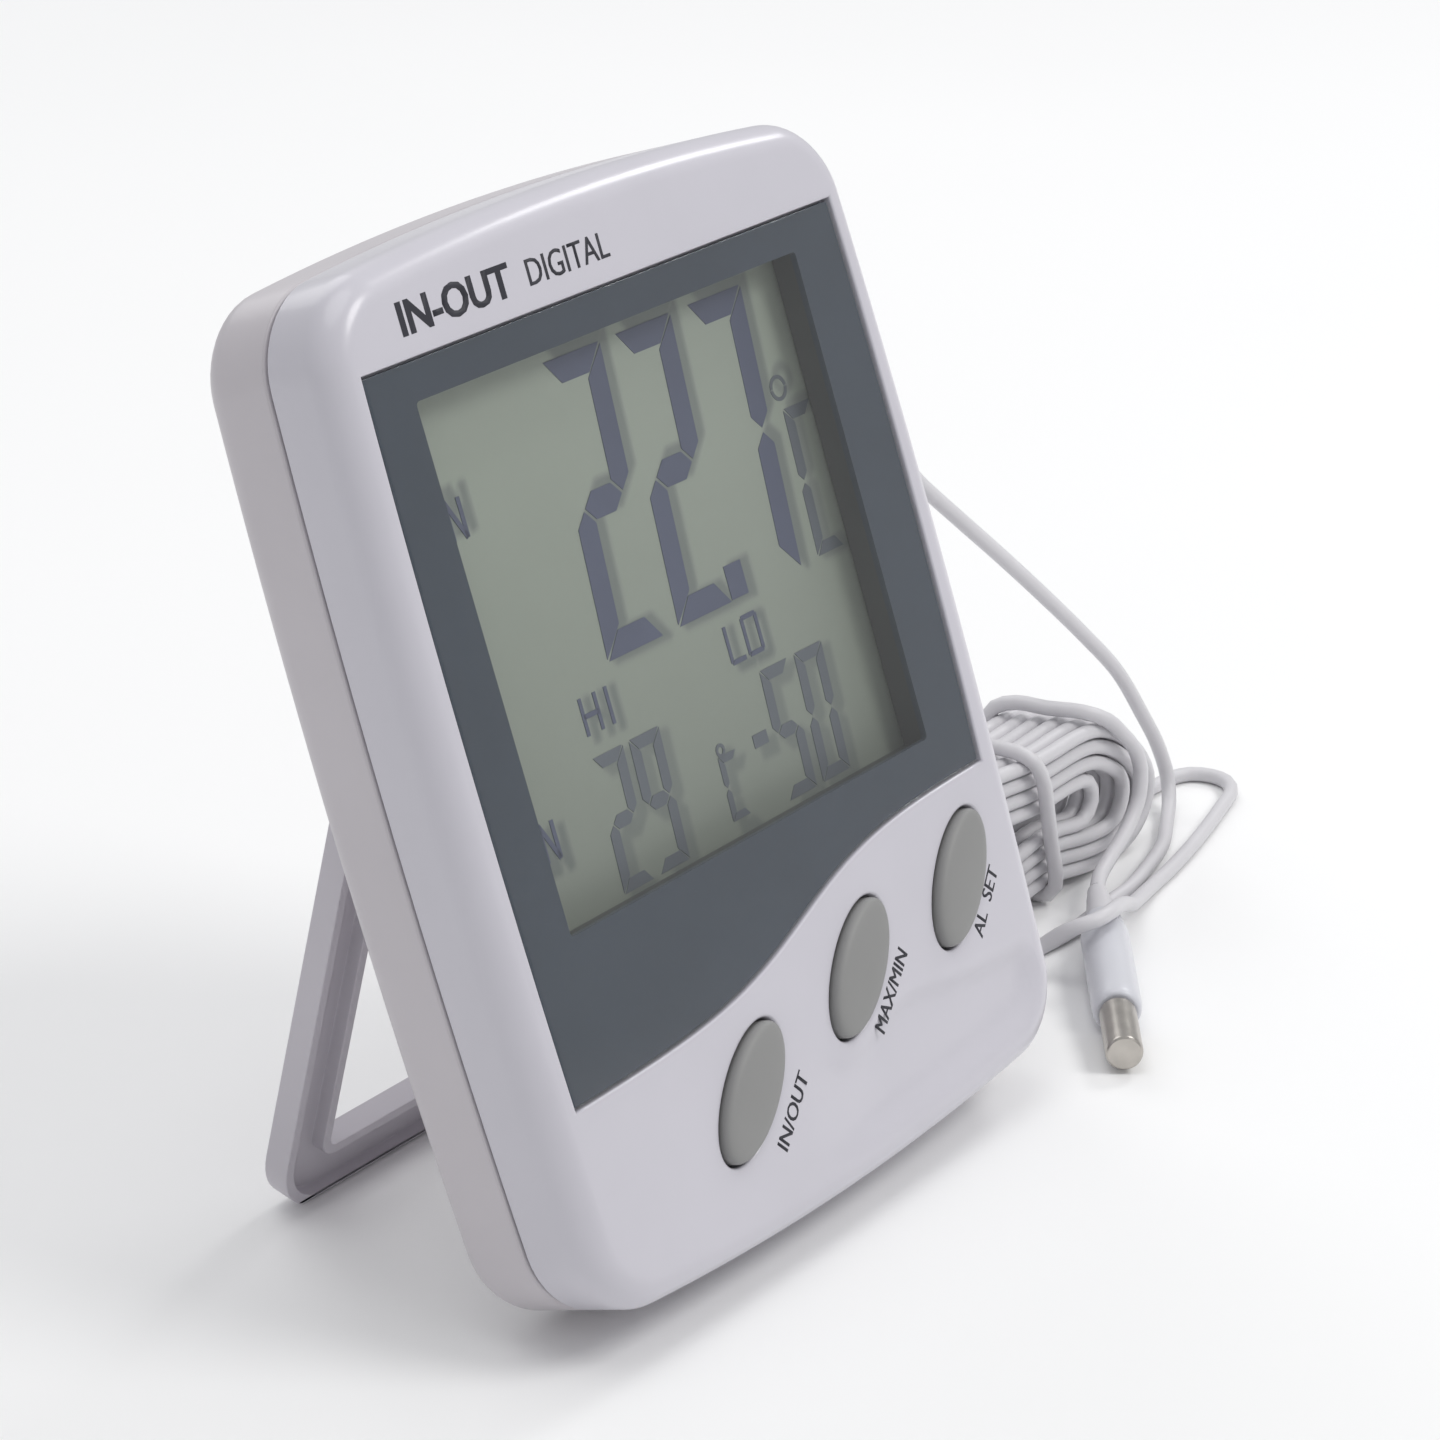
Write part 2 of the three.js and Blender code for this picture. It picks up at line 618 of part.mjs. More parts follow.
function tube(points, radius) {
  const path = new THREE.CatmullRomCurve3(points.map((p) => new THREE.Vector3(...p)), false, 'centripetal');
  const section = new THREE.Shape();
  section.absarc(0, 0, radius, 0, Math.PI * 2);
  const steps = Math.ceil(path.getLength() / (2.6 * 2 * radius));
  return new THREE.ExtrudeGeometry(section, { extrudePath: path, steps, curveSegments: 4 });
}

// The short inner lead, from the grommet to the main board, in the case frame.
const INNER_LEAD = [
  [42, EXIT.y, EXIT.z],
  [38.5, 13.2, 70.4],
  [34, 13.4, 67.5],
  [30, 13.2, 64.5],
];

// The free lead, in the frame the whole object stands in.
const LEAD_TO_HANK = [
  [54.35, 6.75, 68.37], [57.6, 6.73, 67.02], [62.9, 6.48, 62.42], [71.2, 6.38, 55.72],
  [80.6, 6.38, 48.22], [90.5, 6.38, 40.12], [100.9, 6.38, 31.32], [109.6, 6.38, 23.42],
  [116.3, 6.38, 15.22], [120.6, 6.08, 8.92], [121.7, 5.08, 4.22], [119.6, 3.48, 1.72],
  [115, 1.08, 1.07], [108.5, -2.22, 1.07], [101, -4.42, 1.07], [94, -5.92, 1.07], [88.6, -6.12, 1.07],
  [84, -6.52, 1.07], [79.2, -6.82, 1.07], [71.3, -6.22, 1.07], [64, -4.72, 1.07], [56, -3.52, 1.07],
  [50.5, -2.72, 1.07], [46.4, -0.92, 1.12], [44.8, 2.48, 1.52], [46.3, 5.68, 2.42],
];
const LEAD_LOOP = [
  [113.1, 7.1, 6.4], [116.2, 7.8, 4.3], [120.4, 8.3, 2.1], [126.2, 8.5, 1.07], [131.8, 7.18, 1.07],
  [133.2, 4.08, 1.07], [129.8, 1.28, 1.07], [124.4, -1.62, 1.07], [116.7, -4.12, 1.07],
  [108.9, -5.92, 1.1], [102, -7.22, 1.12], [96.2, -8.1, 1.2], [90.2, -9.7, 2.1], [85, -11.7, 3.7],
  [80.5, -13.4, 5.9], [76.3, -14.9, 7.6], [72.6, -16, 8.3], [69.9, -16.4, 8.5], [68.6, -15.7, 8.1],
  [68.4, -14.4, 7.3], [68.3, -12.8, 6.2], [68.2, -11.1, 5], [68.2, -9.6, 3.9], [67.6, -8.6, 3.1],
  [62, -8.52, 1.72], [55, -7.32, 1.07], [48, -6.32, 1.07], [42.6, -4.12, 1.07], [40.2, 1.48, 1.07],
  [40.2, 8.88, 1.07], [42.8, 14.28, 1.07], [48.4, 16.28, 1.07], [60, 16.48, 1.07], [72, 16.28, 1.07],
  [80, 14.78, 1.32],
];
const LEAD_TO_PROBE = [
  [103.2, -1.62, 12.42], [102.6, -1.82, 10.22], [100.6, -2.12, 8.02], [97, -2.72, 6.12],
  [93, -3.32, 4.82], [89.2, -4.32, 4.17], [85.5, -6.17, 4.04],
];
const HANK = { left: 50, right: 112.3, foot: 0.05, height: 23, front: -0.1, back: 12.5 };
const PROBE_AT = [85.2, -6.37, 4.05];
const PROBE_TOWARDS = [-0.807, -0.5906, -0.028];

// The wound part of the lead: the outer shape of its turns, a long ring seen from the front.
function cordHank() {
  const { left, right, foot, height } = HANK;
  const radius = (height - foot) / 2;
  const shape = new THREE.Shape();
  shape.moveTo(left + radius, foot);
  shape.lineTo(right - 11, foot);
  shape.bezierCurveTo(right - 5, foot, right, 3, right, 8);
  shape.bezierCurveTo(right, 13, right - 8, 18.5, right - 12, 20.5);
  shape.bezierCurveTo(right - 16, 22.5, right - 20, height, right - 25, height);
  shape.lineTo(left + radius, height);
  shape.absarc(left + radius, foot + radius, radius, Math.PI / 2, Math.PI * 1.5);
  return geometryOf(plate(shape, HANK.front, HANK.back, 10));
}

function probePiece(points, sides = 20) {
  const geometry = turned(points, sides);
  const turn = new THREE.Quaternion().setFromUnitVectors(
    new THREE.Vector3(0, 1, 0),
    new THREE.Vector3(...PROBE_TOWARDS).normalize(),
  );
  return geometry.applyQuaternion(turn).translate(...PROBE_AT);
}

const probeNeck = () =>
  probePiece([[0, 0.3], [1.3, 0.3], [1.6, 3], [2, 11.6], [0, 11.6]], 16);
const probeBody = () =>
  probePiece([[0, 11.9], [2.7, 11.9], [PROBE_BODY_RADIUS, 13], [PROBE_BODY_RADIUS, 31.8], [2.9, 33.3], [0, 33.3]]);
const probeTip = () => probePiece([[0, 33.6], [2.3, 33.6], [2.3, 43.4], [2, 43.8], [0, 43.8]]);

// ---- assembly -----------------------------------------------------------------------------

function addMesh(group, name, shape, look) {
  const geometry = shape.isBufferGeometry ? shape : geometryOf(shape);
  const mesh = new THREE.Mesh(geometry, look);
  mesh.name = name;
  group.add(mesh);
}

function caseGroup() {
  const group = new THREE.Group();
  addMesh(group, 'front_case', frontCase(), shellPlastic);
  addMesh(group, 'rear_cover', rearCover(), shellPlastic);
  addMesh(group, 'display_window', displayWindow(), windowPlastic);
  addMesh(group, 'lcd_frame', lcdFrame(), darkPlastic);
  addMesh(group, 'lcd_panel', lcdPanel(), glass);
  addMesh(group, 'zebra_strip_top', zebraStrip(99.6), rubber);
  addMesh(group, 'zebra_strip_bottom', zebraStrip(39.6), rubber);
  addMesh(group, 'circuit_board', circuitBoard(), boardLaminate);
  addMesh(group, 'key_board', keyBoard(), boardLaminate);
  addMesh(group, 'keypad_mat', keypadMat(), rubber);
  addMesh(group, 'ribbon_cable', ribbonCable(), standPlastic);
  addMesh(group, 'chip_blob', chipBlob(), epoxy);
  addMesh(group, 'quartz_crystal', quartzCrystal(), steel);
  addMesh(group, 'buzzer_disc', buzzerDisc(), brass);
  addMesh(group, 'room_sensor', roomSensor(), epoxy);
  addMesh(group, 'switch_body', switchBody(), darkPlastic);
  addMesh(group, 'unit_switch', unitSwitch(), darkPlastic);
  addMesh(group, 'battery_cell', batteryCell(), cellSleeve);
  addMesh(group, 'battery_spring', batterySpring(), steel);
  addMesh(group, 'battery_plate', batteryPlate(), steel);
  addMesh(group, 'battery_door', batteryDoor(), shellPlastic);
  addMesh(group, 'cable_grommet', cableGrommet(), cordJacket);
  addMesh(group, 'inner_lead', tube(INNER_LEAD, CORD_RADIUS), cordJacket);
  BUTTONS.forEach((item) => addMesh(group, item.name, button(item), keyPlastic));
  CASE_SCREWS.forEach((item) => addMesh(group, item.name, caseScrew(item), steel));
  BOARD_SCREWS.forEach((item) => addMesh(group, item.name, boardScrew(item), steel));
  group.add(standGroup());
  group.rotation.x = -LEAN;
  group.position.set(...CASE_AT);
  return group;
}

function standGroup() {
  const group = new THREE.Group();
  addMesh(group, 'kickstand', kickstand(), standPlastic);
  group.position.set(0, HINGE.y, HINGE.z);
  group.rotation.x = STAND_OPEN;
  return group;
}

function leadGroup() {
  const group = new THREE.Group();
  addMesh(group, 'sensor_cord', tube(LEAD_TO_HANK, CORD_RADIUS), cordJacket);
  addMesh(group, 'sensor_cord_loop', tube(LEAD_LOOP, CORD_RADIUS), cordJacket);
  addMesh(group, 'sensor_cord_end', tube(LEAD_TO_PROBE, CORD_RADIUS), cordJacket);
  addMesh(group, 'cord_hank', cordHank(), cordJacket);
  addMesh(group, 'probe_neck', probeNeck(), cordJacket);
  addMesh(group, 'probe_body', probeBody(), shellPlastic);
  addMesh(group, 'probe_tip', probeTip(), nickel);
  return group;
}

const thermometer = new THREE.Group();
thermometer.add(caseGroup(), leadGroup());

export default thermometer;
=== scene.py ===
# Looks of the maximum minimum thermometer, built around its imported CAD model.
# Lengths are millimetres until MM turns them into metres; materials, camera and lights use metres.
import math

import bmesh
import bpy
from mathutils import Matrix, Vector, geometry, noise


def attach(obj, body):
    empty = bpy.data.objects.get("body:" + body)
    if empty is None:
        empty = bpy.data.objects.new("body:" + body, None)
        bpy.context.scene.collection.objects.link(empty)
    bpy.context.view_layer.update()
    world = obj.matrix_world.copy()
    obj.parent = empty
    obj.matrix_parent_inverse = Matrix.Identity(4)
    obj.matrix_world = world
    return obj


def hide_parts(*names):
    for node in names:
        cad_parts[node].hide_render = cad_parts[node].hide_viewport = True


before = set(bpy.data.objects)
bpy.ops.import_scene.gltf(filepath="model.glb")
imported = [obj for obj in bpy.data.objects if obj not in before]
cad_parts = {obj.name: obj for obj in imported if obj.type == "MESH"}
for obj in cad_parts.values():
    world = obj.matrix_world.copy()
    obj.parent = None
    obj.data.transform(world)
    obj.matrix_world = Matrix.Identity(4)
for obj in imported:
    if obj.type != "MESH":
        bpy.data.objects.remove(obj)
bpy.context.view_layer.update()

MM = 0.001

# The case's own frame has x across, y from the face to the back and z up the face. CASE and STAND
# put the frames of the case and of the open stand into the shared frame, which is in metres.
LEAN = math.radians(19.3)
STAND_OPEN = math.radians(33.7)
CASE = Matrix.Translation((0, -0.02908, 0.005421)) @ Matrix.Rotation(-LEAN, 4, "X")
HINGE = (20.9, 63.8)  # y and z of the stand's axis
STAND = CASE @ Matrix.Translation((0, HINGE[0] * MM, HINGE[1] * MM)) @ Matrix.Rotation(STAND_OPEN, 4, "X")
WORLD = Matrix.Identity(4)

HALF_WIDTH, HALF_HEIGHT, DEPTH = 46, 58.2, 18.9
SIDE_BOW, END_BOW, CORNER = 1.8, 2.6, 9
PARTING, PARTING_GAP = 9.45, 0.12  # depth of the joint between the shells, and half its groove
SIDE_WALL = 1.9
FACE_WALL, BACK_WALL = 2.4, 16.9  # depths of the inner faces of the front and back walls
WINDOW_TOP, WINDOW_HALF, WINDOW_BOW = 104.3, 40.5, 0.7
WINDOW_SEAT = 1.5
WAVE_MIDDLE, WAVE_RISE, WAVE_CENTRE, WAVE_RUN = 31.5, 5.7, 2.5, 16  # the window's lower edge
WELL = (-34.6, 33.7, 41.5, 100.8)  # low x, high x, low z, high z
LCD_FACE, LCD_BACK = 5.3, 7.5
MARK_FRONT, MARK_BACK = 5.22, 5.295  # the lit marks lie just in front of the display
PRINT_DEPTH, PRINT_STEP = -0.012, 0.000002  # printed letters lie just in front of the face
INK_THICKNESS = 0.01
BUTTONS = {  # body, x and z of the middle, tilt in degrees
    "button_in_out": ("in_out_key", -13.9, 17.1, 42),
    "button_max_min": ("max_min_key", 9.1, 22.9, 45),
    "button_alarm_set": ("alarm_key", 30.7, 25.9, 48.5),
}
BUTTON_LONG, BUTTON_SHORT = 8.5, 3.9


# ---- materials ----


class Nodes:
    """A small helper that builds one material's node tree."""

    def __init__(self, name):
        self.material = bpy.data.materials.new(name)
        self.material.use_nodes = True
        self.tree = self.material.node_tree
        self.shader = self.tree.nodes["Principled BSDF"]
        self.coords = self.tree.nodes.new("ShaderNodeTexCoord").outputs["Object"]

    def add(self, kind, **inputs):
        node = self.tree.nodes.new("ShaderNode" + kind)
        for name, value in inputs.items():
            self.put(node.inputs[name.replace("_", " ")], value)
        return node

    def put(self, socket, value):
        if isinstance(value, bpy.types.NodeSocket):
            self.tree.links.new(value, socket)
        else:
            socket.default_value = value

    def surface(self, name, value):
        self.put(self.shader.inputs[name], value)

    def noise(self, scale, detail):
        return self.add("TexNoise", Vector=self.coords, Scale=scale, Detail=detail).outputs["Fac"]

    def ramp(self, factor, low, high, *stops):
        node = self.add("ValToRGB", Fac=factor)
        ramp = node.color_ramp
        ramp.elements[0].position = low
        ramp.elements[1].position = high
        for element, colour in zip(ramp.elements, stops):
            element.color = (*colour, 1)
        return node.outputs["Color"]

    def range(self, factor, low, high):
        return self.add("MapRange", Value=factor, To_Min=low, To_Max=high).outputs["Result"]

    def bump(self, height, strength, distance, under=None):
        node = self.add("Bump", Height=height, Strength=strength, Distance=distance)
        if under:
            self.put(node.inputs["Normal"], under)
        return node.outputs["Normal"]


def moulded(name, base, rough=0.35, spread=0.03, grain=9000.0, relief=0.06, coat=0.0):
    """Moulded plastic: soft mottling of its colour, fine surface grain, uneven gloss."""
    n = Nodes(name)
    dark = tuple(c * (1 - spread) for c in base)
    light = tuple(min(1, c * (1 + spread)) for c in base)
    n.surface("Base Color", n.ramp(n.noise(60, 5), 0.35, 0.65, dark, light))
    n.surface("Roughness", n.range(n.noise(140, 6), rough - 0.06, rough + 0.08))
    waves = n.bump(n.noise(45, 2), 0.05, 0.0004)
    n.surface("Normal", n.bump(n.noise(grain, 2), relief, 0.00002, waves))
    n.surface("Coat Weight", coat)
    n.surface("Coat Roughness", 0.15)
    return n.material


def metal(name, base, rough, scale=900):
    """Plain metal with a faint stain, uneven gloss and a fine grain."""
    n = Nodes(name)
    n.surface("Metallic", 1.0)
    dark = tuple(c * 0.86 for c in base)
    n.surface("Base Color", n.ramp(n.noise(scale, 6), 0.3, 0.7, dark, base))
    n.surface("Roughness", n.range(n.noise(scale * 2, 6), rough - 0.08, rough + 0.12))
    n.surface("Normal", n.bump(n.noise(scale * 3, 4), 0.08, 0.00003))
    return n.material


def window_clear():
    """A clear sheet: it lets everything through and only adds a faint reflection."""
    n = Nodes("clear_window")
    clear = n.add("BsdfTransparent", Color=(0.97, 0.975, 0.98, 1))
    gloss = n.add("BsdfGlossy", Color=(1, 1, 1, 1))
    n.put(gloss.inputs["Roughness"], n.range(n.noise(220, 5), 0.05, 0.11))
    edge = n.add("LayerWeight", Blend=0.06)
    mix = n.add("MixShader")
    for socket, source in zip(mix.inputs, (edge.outputs["Facing"], clear.outputs[0], gloss.outputs[0])):
        n.put(socket, source)
    n.put(n.tree.nodes["Material Output"].inputs["Surface"], mix.outputs[0])
    return n.material


def lcd_glass():
    """Grey-green display glass, lighter towards the top by a painted sheen; the painted attribute holds the
    soft shadows under the segments.
    """
    n = Nodes("display_glass")
    tint = n.ramp(n.noise(35, 3), 0.3, 0.7, (0.292, 0.322, 0.266), (0.31, 0.34, 0.282))
    # Painted sheen: the glass tint is multiplied up towards the top of the display, a painted reflection.
    height = n.add("SeparateXYZ", Vector=n.coords)
    limits = {"From_Min": 0.04, "From_Max": 0.1, "To_Min": 0.82, "To_Max": 1.3}
    painted_sheen = n.add("MapRange", Value=height.outputs["Z"], **limits)
    lit = n.add("MixRGB", Fac=1.0, Color1=tint, Color2=painted_sheen.outputs["Result"])
    lit.blend_type = "MULTIPLY"
    speckle = n.ramp(n.noise(14000, 2), 0.35, 0.7, (0.9, 0.9, 0.9), (1, 1, 1))
    base = n.add("MixRGB", Fac=1.0, Color1=lit.outputs[0], Color2=speckle)
    base.blend_type = "MULTIPLY"
    shade = n.add("Attribute")
    shade.attribute_name = "shade"
    dark = (0.085, 0.098, 0.105, 1)
    shadow = n.add("MixRGB", Fac=shade.outputs["Fac"], Color1=base.outputs[0], Color2=dark)
    n.surface("Base Color", shadow.outputs[0])
    n.surface("Roughness", n.range(n.noise(300, 4), 0.38, 0.5))
    return n.material


def board_green(name):
    """Green solder resist with paler copper tracks showing through it."""
    n = Nodes(name)
    resist = {"Color1": (0.02, 0.12, 0.05, 1), "Color2": (0.025, 0.15, 0.06, 1)}
    tracks = n.add("TexBrick", Vector=n.coords, Scale=260.0, Mortar=(0.07, 0.26, 0.11, 1), **resist)
    n.surface("Base Color", tracks.outputs["Color"])
    n.surface("Roughness", n.range(n.noise(400, 4), 0.3, 0.45))
    return n.material


def cell_sleeve():
    """The printed sleeve of the cell: blue ink with a fine mottle."""
    n = Nodes("cell_sleeve")
    parts = n.add("SeparateXYZ", Vector=n.coords)
    band = n.ramp(n.range(parts.outputs["X"], 0, 1), 0.0, 1.0, (0.03, 0.08, 0.22), (0.04, 0.12, 0.33))
    tint = n.add("MixRGB", Fac=n.noise(500, 4), Color1=band, Color2=(0.05, 0.14, 0.36, 1))
    n.surface("Base Color", tint.outputs[0])
    n.surface("Roughness", n.range(n.noise(700, 4), 0.22, 0.34))
    return n.material


SHELL = moulded("shell_plastic", (0.60, 0.585, 0.64), rough=0.3, spread=0.014, coat=0.3)
REAR = moulded("rear_plastic", (0.57, 0.54, 0.57), rough=0.36, spread=0.018, coat=0.1)
STAND_WHITE = moulded("stand_plastic", (0.56, 0.535, 0.58), rough=0.4, spread=0.02)
KEY_GREY = moulded("key_plastic", (0.265, 0.265, 0.262), rough=0.5, relief=0.12)
SLATE = moulded("window_print", (0.036, 0.049, 0.068), rough=0.4, spread=0.06, relief=0.0)
DARK = moulded("dark_plastic", (0.062, 0.065, 0.06), rough=0.6, spread=0.1, relief=0.15)
INK = moulded("printed_ink", (0.018, 0.018, 0.028), rough=0.55, spread=0.15)
SEGMENT = moulded("display_segment", (0.088, 0.1, 0.155), rough=0.5, spread=0.05)
FAINT = moulded("display_segment_faint", (0.118, 0.132, 0.15), rough=0.5, spread=0.05)
CORD_WHITE = moulded("lead_jacket", (0.655, 0.645, 0.67), rough=0.42, spread=0.02, relief=0.1)
PROBE_WHITE = moulded("probe_plastic", (0.65, 0.655, 0.70), rough=0.32, spread=0.015, coat=0.1)
SILICONE = moulded("silicone", (0.42, 0.42, 0.44), rough=0.7, spread=0.05, relief=0.2)
EPOXY = moulded("epoxy", (0.012, 0.012, 0.014), rough=0.3, spread=0.3)
RIBBON = moulded("ribbon_film", (0.62, 0.60, 0.55), rough=0.45, spread=0.06, grain=3000)
STEEL = metal("plated_steel", (0.62, 0.63, 0.65), 0.28)
NICKEL = metal("dull_nickel", (0.56, 0.53, 0.49), 0.3, 500)
BRASS = metal("sheet_brass", (0.72, 0.52, 0.24), 0.3)
BOARD = board_green("solder_resist")
SLEEVE = cell_sleeve()
CLEAR = window_clear()
LCD = lcd_glass()

for node, look in {
    "lcd_frame": DARK, "zebra_strip_top": SILICONE, "zebra_strip_bottom": SILICONE,
    "circuit_board": BOARD, "key_board": BOARD, "keypad_mat": SILICONE, "ribbon_cable": RIBBON,
    "chip_blob": EPOXY, "quartz_crystal": STEEL, "buzzer_disc": BRASS, "room_sensor": EPOXY,
    "switch_body": DARK, "unit_switch": DARK, "battery_cell": SLEEVE, "battery_spring": STEEL,
    "battery_plate": STEEL, "inner_lead": CORD_WHITE,
    **{f"case_screw_{row}_{side}": STEEL for row in ("top", "bottom") for side in ("left", "right")},
    **{f"board_screw_{i}": STEEL for i in range(1, 5)},
}.items():
    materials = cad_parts[node].data.materials
    materials.clear()
    materials.append(look)


# ---- mesh helpers ----


def link(name, data):
    obj = bpy.data.objects.new(name, data)
    bpy.context.collection.objects.link(obj)
    return obj


def linked_mesh(name, verts, faces):
    mesh = bpy.data.meshes.new(name)
    mesh.from_pydata([Vector(v) * MM for v in verts], [], faces)
    return link(name, mesh)


def solid(name, verts, faces):
    """A linked mesh from millimetre points, welded, with its normals outwards."""
    obj = linked_mesh(name, verts, faces)
    work = bmesh.new()
    work.from_mesh(obj.data)
    bmesh.ops.remove_doubles(work, verts=work.verts, dist=2e-6)
    bmesh.ops.recalc_face_normals(work, faces=work.faces)
    work.to_mesh(obj.data)
    work.free()
    return obj


def evaluated(obj):
    """The mesh of an object as its modifiers or its curve make it."""
    bpy.context.view_layer.update()
    made = obj.evaluated_get(bpy.context.evaluated_depsgraph_get())
    return bpy.data.meshes.new_from_object(made)


def piece(name, verts, faces, look, matrix=CASE, body="case", slot=None, replaces=(), sharp=40):
    """A mesh piece from millimetre points in the frame of matrix, riding on body."""
    return dress(solid(name, verts, faces), look, matrix, body, replaces, sharp)


def dress(obj, look, matrix=CASE, body="case", replaces=(), sharp=40):
    """Puts a mesh in place with its material, its shading, its body and replaced nodes."""
    obj.data.transform(matrix)
    obj.data.materials.clear()
    obj.data.materials.append(look)
    obj.data.shade_smooth()
    obj.data.set_sharp_from_angle(angle=math.radians(sharp))
    flat = obj.modifiers.new("flat", "WEIGHTED_NORMAL")
    flat.keep_sharp = True
    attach(obj, body)
    if replaces:
        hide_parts(*replaces)
    return obj


def grid_faces(rows, columns, closed=True):
    """Faces between rows of points; closed joins each row's last point to its first."""
    faces = []
    for r in range(rows - 1):
        low, high = r * columns, (r + 1) * columns
        for c in range(columns if closed else columns - 1):
            n = (c + 1) % columns
            faces.append((low + c, low + n, high + n, high + c))
    return faces


def tube(rings):
    """Points and faces of a solid through equal rings of points, closed at both ends."""
    verts = [point for ring in rings for point in ring]
    count = len(rings[0])
    faces = grid_faces(len(rings), count)
    faces.append(tuple(range(count)))
    faces.append(tuple(range(len(verts) - count, len(verts))))
    return verts, faces


def lathe(profile, origin, direction, sides):
    """Points and faces of a profile of (radius, distance along) turned about a line."""
    axis = Vector(direction).normalized()
    across = axis.orthogonal().normalized()
    up = axis.cross(across)
    rings = []
    for radius, distance in profile:
        middle = Vector(origin) + axis * distance
        turns = [2 * math.pi * i / sides for i in range(sides)]
        rings.append([middle + (across * math.cos(a) + up * math.sin(a)) * radius for a in turns])
    return tube(rings)


def offset(loop, distance):
    """A closed 2-D loop moved along its normals; positive grows a counter-clockwise loop."""
    out = []
    for i, p in enumerate(loop):
        before, after = loop[i - 1], loop[(i + 1) % len(loop)]
        a = Vector((p[0] - before[0], p[1] - before[1])).normalized()
        b = Vector((after[0] - p[0], after[1] - p[1])).normalized()
        n = Vector((a.y + b.y, -a.x - b.x)).normalized()
        stretch = 1 / max(0.35, n.dot(Vector((a.y, -a.x))))
        out.append((p[0] + n.x * distance * stretch, p[1] + n.y * distance * stretch))
    return out


def inside(loop, x, z):
    """Whether a point is inside a closed loop, by counting crossings."""
    hit = False
    for (ax, az), (bx, bz) in zip(loop, loop[1:] + loop[:1]):
        if (az > z) != (bz > z) and x < (bx - ax) * (z - az) / (bz - az) + ax:
            hit = not hit
    return hit


def ease(t):
    """A smooth step from 0 to 1."""
    t = max(0.0, min(1.0, t))
    return t * t * (3 - 2 * t)


def near(loop, x, z):
    """The distance from a point to the nearest edge of a closed loop."""
    best = math.inf
    for (ax, az), (bx, bz) in zip(loop, loop[1:] + loop[:1]):
        dx, dz = bx - ax, bz - az
        t = max(0, min(1, ((x - ax) * dx + (z - az) * dz) / (dx * dx + dz * dz + 1e-12)))
        best = min(best, math.hypot(x - ax - t * dx, z - az - t * dz))
    return best


class Body:
    """Collects rings and filled faces of one shell; they are welded when the piece is made."""

    def __init__(self):
        self.verts, self.faces = [], []

    def rings(self, loop, levels):
        """levels are (inset, depth): the loop pulled in by inset at that depth."""
        start = len(self.verts)
        for inset, depth in levels:
            self.verts += [(x, depth, z) for x, z in offset(loop, -inset)]
        self.faces += [tuple(start + i for i in f) for f in grid_faces(len(levels), len(loop))]

    def fill(self, outer, holes, depth, spacing=None, height=None):
        """A flat face between outer and holes, with inner points where the height varies."""

        def within(x, z):
            return inside(outer, x, z) and not any(inside(h, x, z) for h in holes)

        loops = [outer, *holes]
        points, edges = [], []
        for loop in loops:
            first = len(points)
            points += loop
            edges += [(first + i, first + (i + 1) % len(loop)) for i in range(len(loop))]
        if spacing:
            xs, zs = [p[0] for p in outer], [p[1] for p in outer]
            z = min(zs)
            while z < max(zs):
                x = min(xs)
                while x < max(xs):
                    if within(x, z) and min(near(loop, x, z) for loop in loops) > 0.45 * spacing:
                        points.append((x, z))
                    x += spacing
                z += spacing
        made, _, tris, *_ = geometry.delaunay_2d_cdt([Vector(p) for p in points], edges, [], 0, 1e-5)
        start = len(self.verts)
        self.verts += [(p.x, depth + (height(p.x, p.y) if height else 0), p.y) for p in made]
        for tri in tris:
            x = sum(made[i].x for i in tri) / 3
            z = sum(made[i].y for i in tri) / 3
            if within(x, z):
                self.faces.append(tuple(start + i for i in tri))


def quarter(reach, steps, drop=None):
    """Levels of a rounded edge: reach across the face, drop down the wall."""
    drop = drop or reach
    turns = [math.pi / 2 * i / steps for i in range(steps + 1)]
    return [(reach * (1 - math.sin(a)), drop * (1 - math.cos(a))) for a in turns]


def case_loop(sides=20, corners=12):
    """The case's outline: a rounded rectangle whose sides and ends bow outwards."""
    sx, sz = HALF_WIDTH - CORNER, HALF_HEIGHT - CORNER
    flat = []
    for quadrant in range(4):
        a0 = quadrant * math.pi / 2
        cx = sx * (1 if math.cos(a0 + math.pi / 4) > 0 else -1)
        cz = sz * (1 if math.sin(a0 + math.pi / 4) > 0 else -1)
        for i in range(corners + 1):
            a = a0 + math.pi / 2 * i / corners
            flat.append((cx + CORNER * math.cos(a), cz + CORNER * math.sin(a)))
        run = 2 * (sx if quadrant % 2 == 0 else sz)
        dx, dz = -math.sin(a0 + math.pi / 2), math.cos(a0 + math.pi / 2)
        px, pz = flat[-1]
        for i in range(1, sides):
            flat.append((px + dx * run * i / sides, pz + dz * run * i / sides))
    return [
        (x * (1 - SIDE_BOW / HALF_WIDTH * (z / HALF_HEIGHT) ** 2),
         z * (1 - END_BOW / HALF_HEIGHT * (x / HALF_WIDTH) ** 2) + HALF_HEIGHT)
        for x, z in flat
    ]


def window_loop(grow=0.0):
    """The window's outline: a wave below, sides that bow a little, a straight top."""
    half, top = WINDOW_HALF + grow, WINDOW_TOP + grow
    wave, sides, ends = 40, 12, 16
    loop = []
    for i in range(wave + 1):
        x = -half + 2 * half * i / wave
        loop.append((x, WAVE_MIDDLE + WAVE_RISE * math.tanh((x - WAVE_CENTRE) / WAVE_RUN) - grow))
    for side in (1, -1):
        low = loop[-1][1] if side > 0 else loop[0][1]
        for i in range(1, sides):
            t = i / sides if side > 0 else 1 - i / sides
            loop.append((side * (half + 4 * WINDOW_BOW * t * (1 - t)), low + (top - low) * t))
        if side > 0:
            loop += [(half - 2 * half * i / ends, top) for i in range(ends + 1)]
    return loop


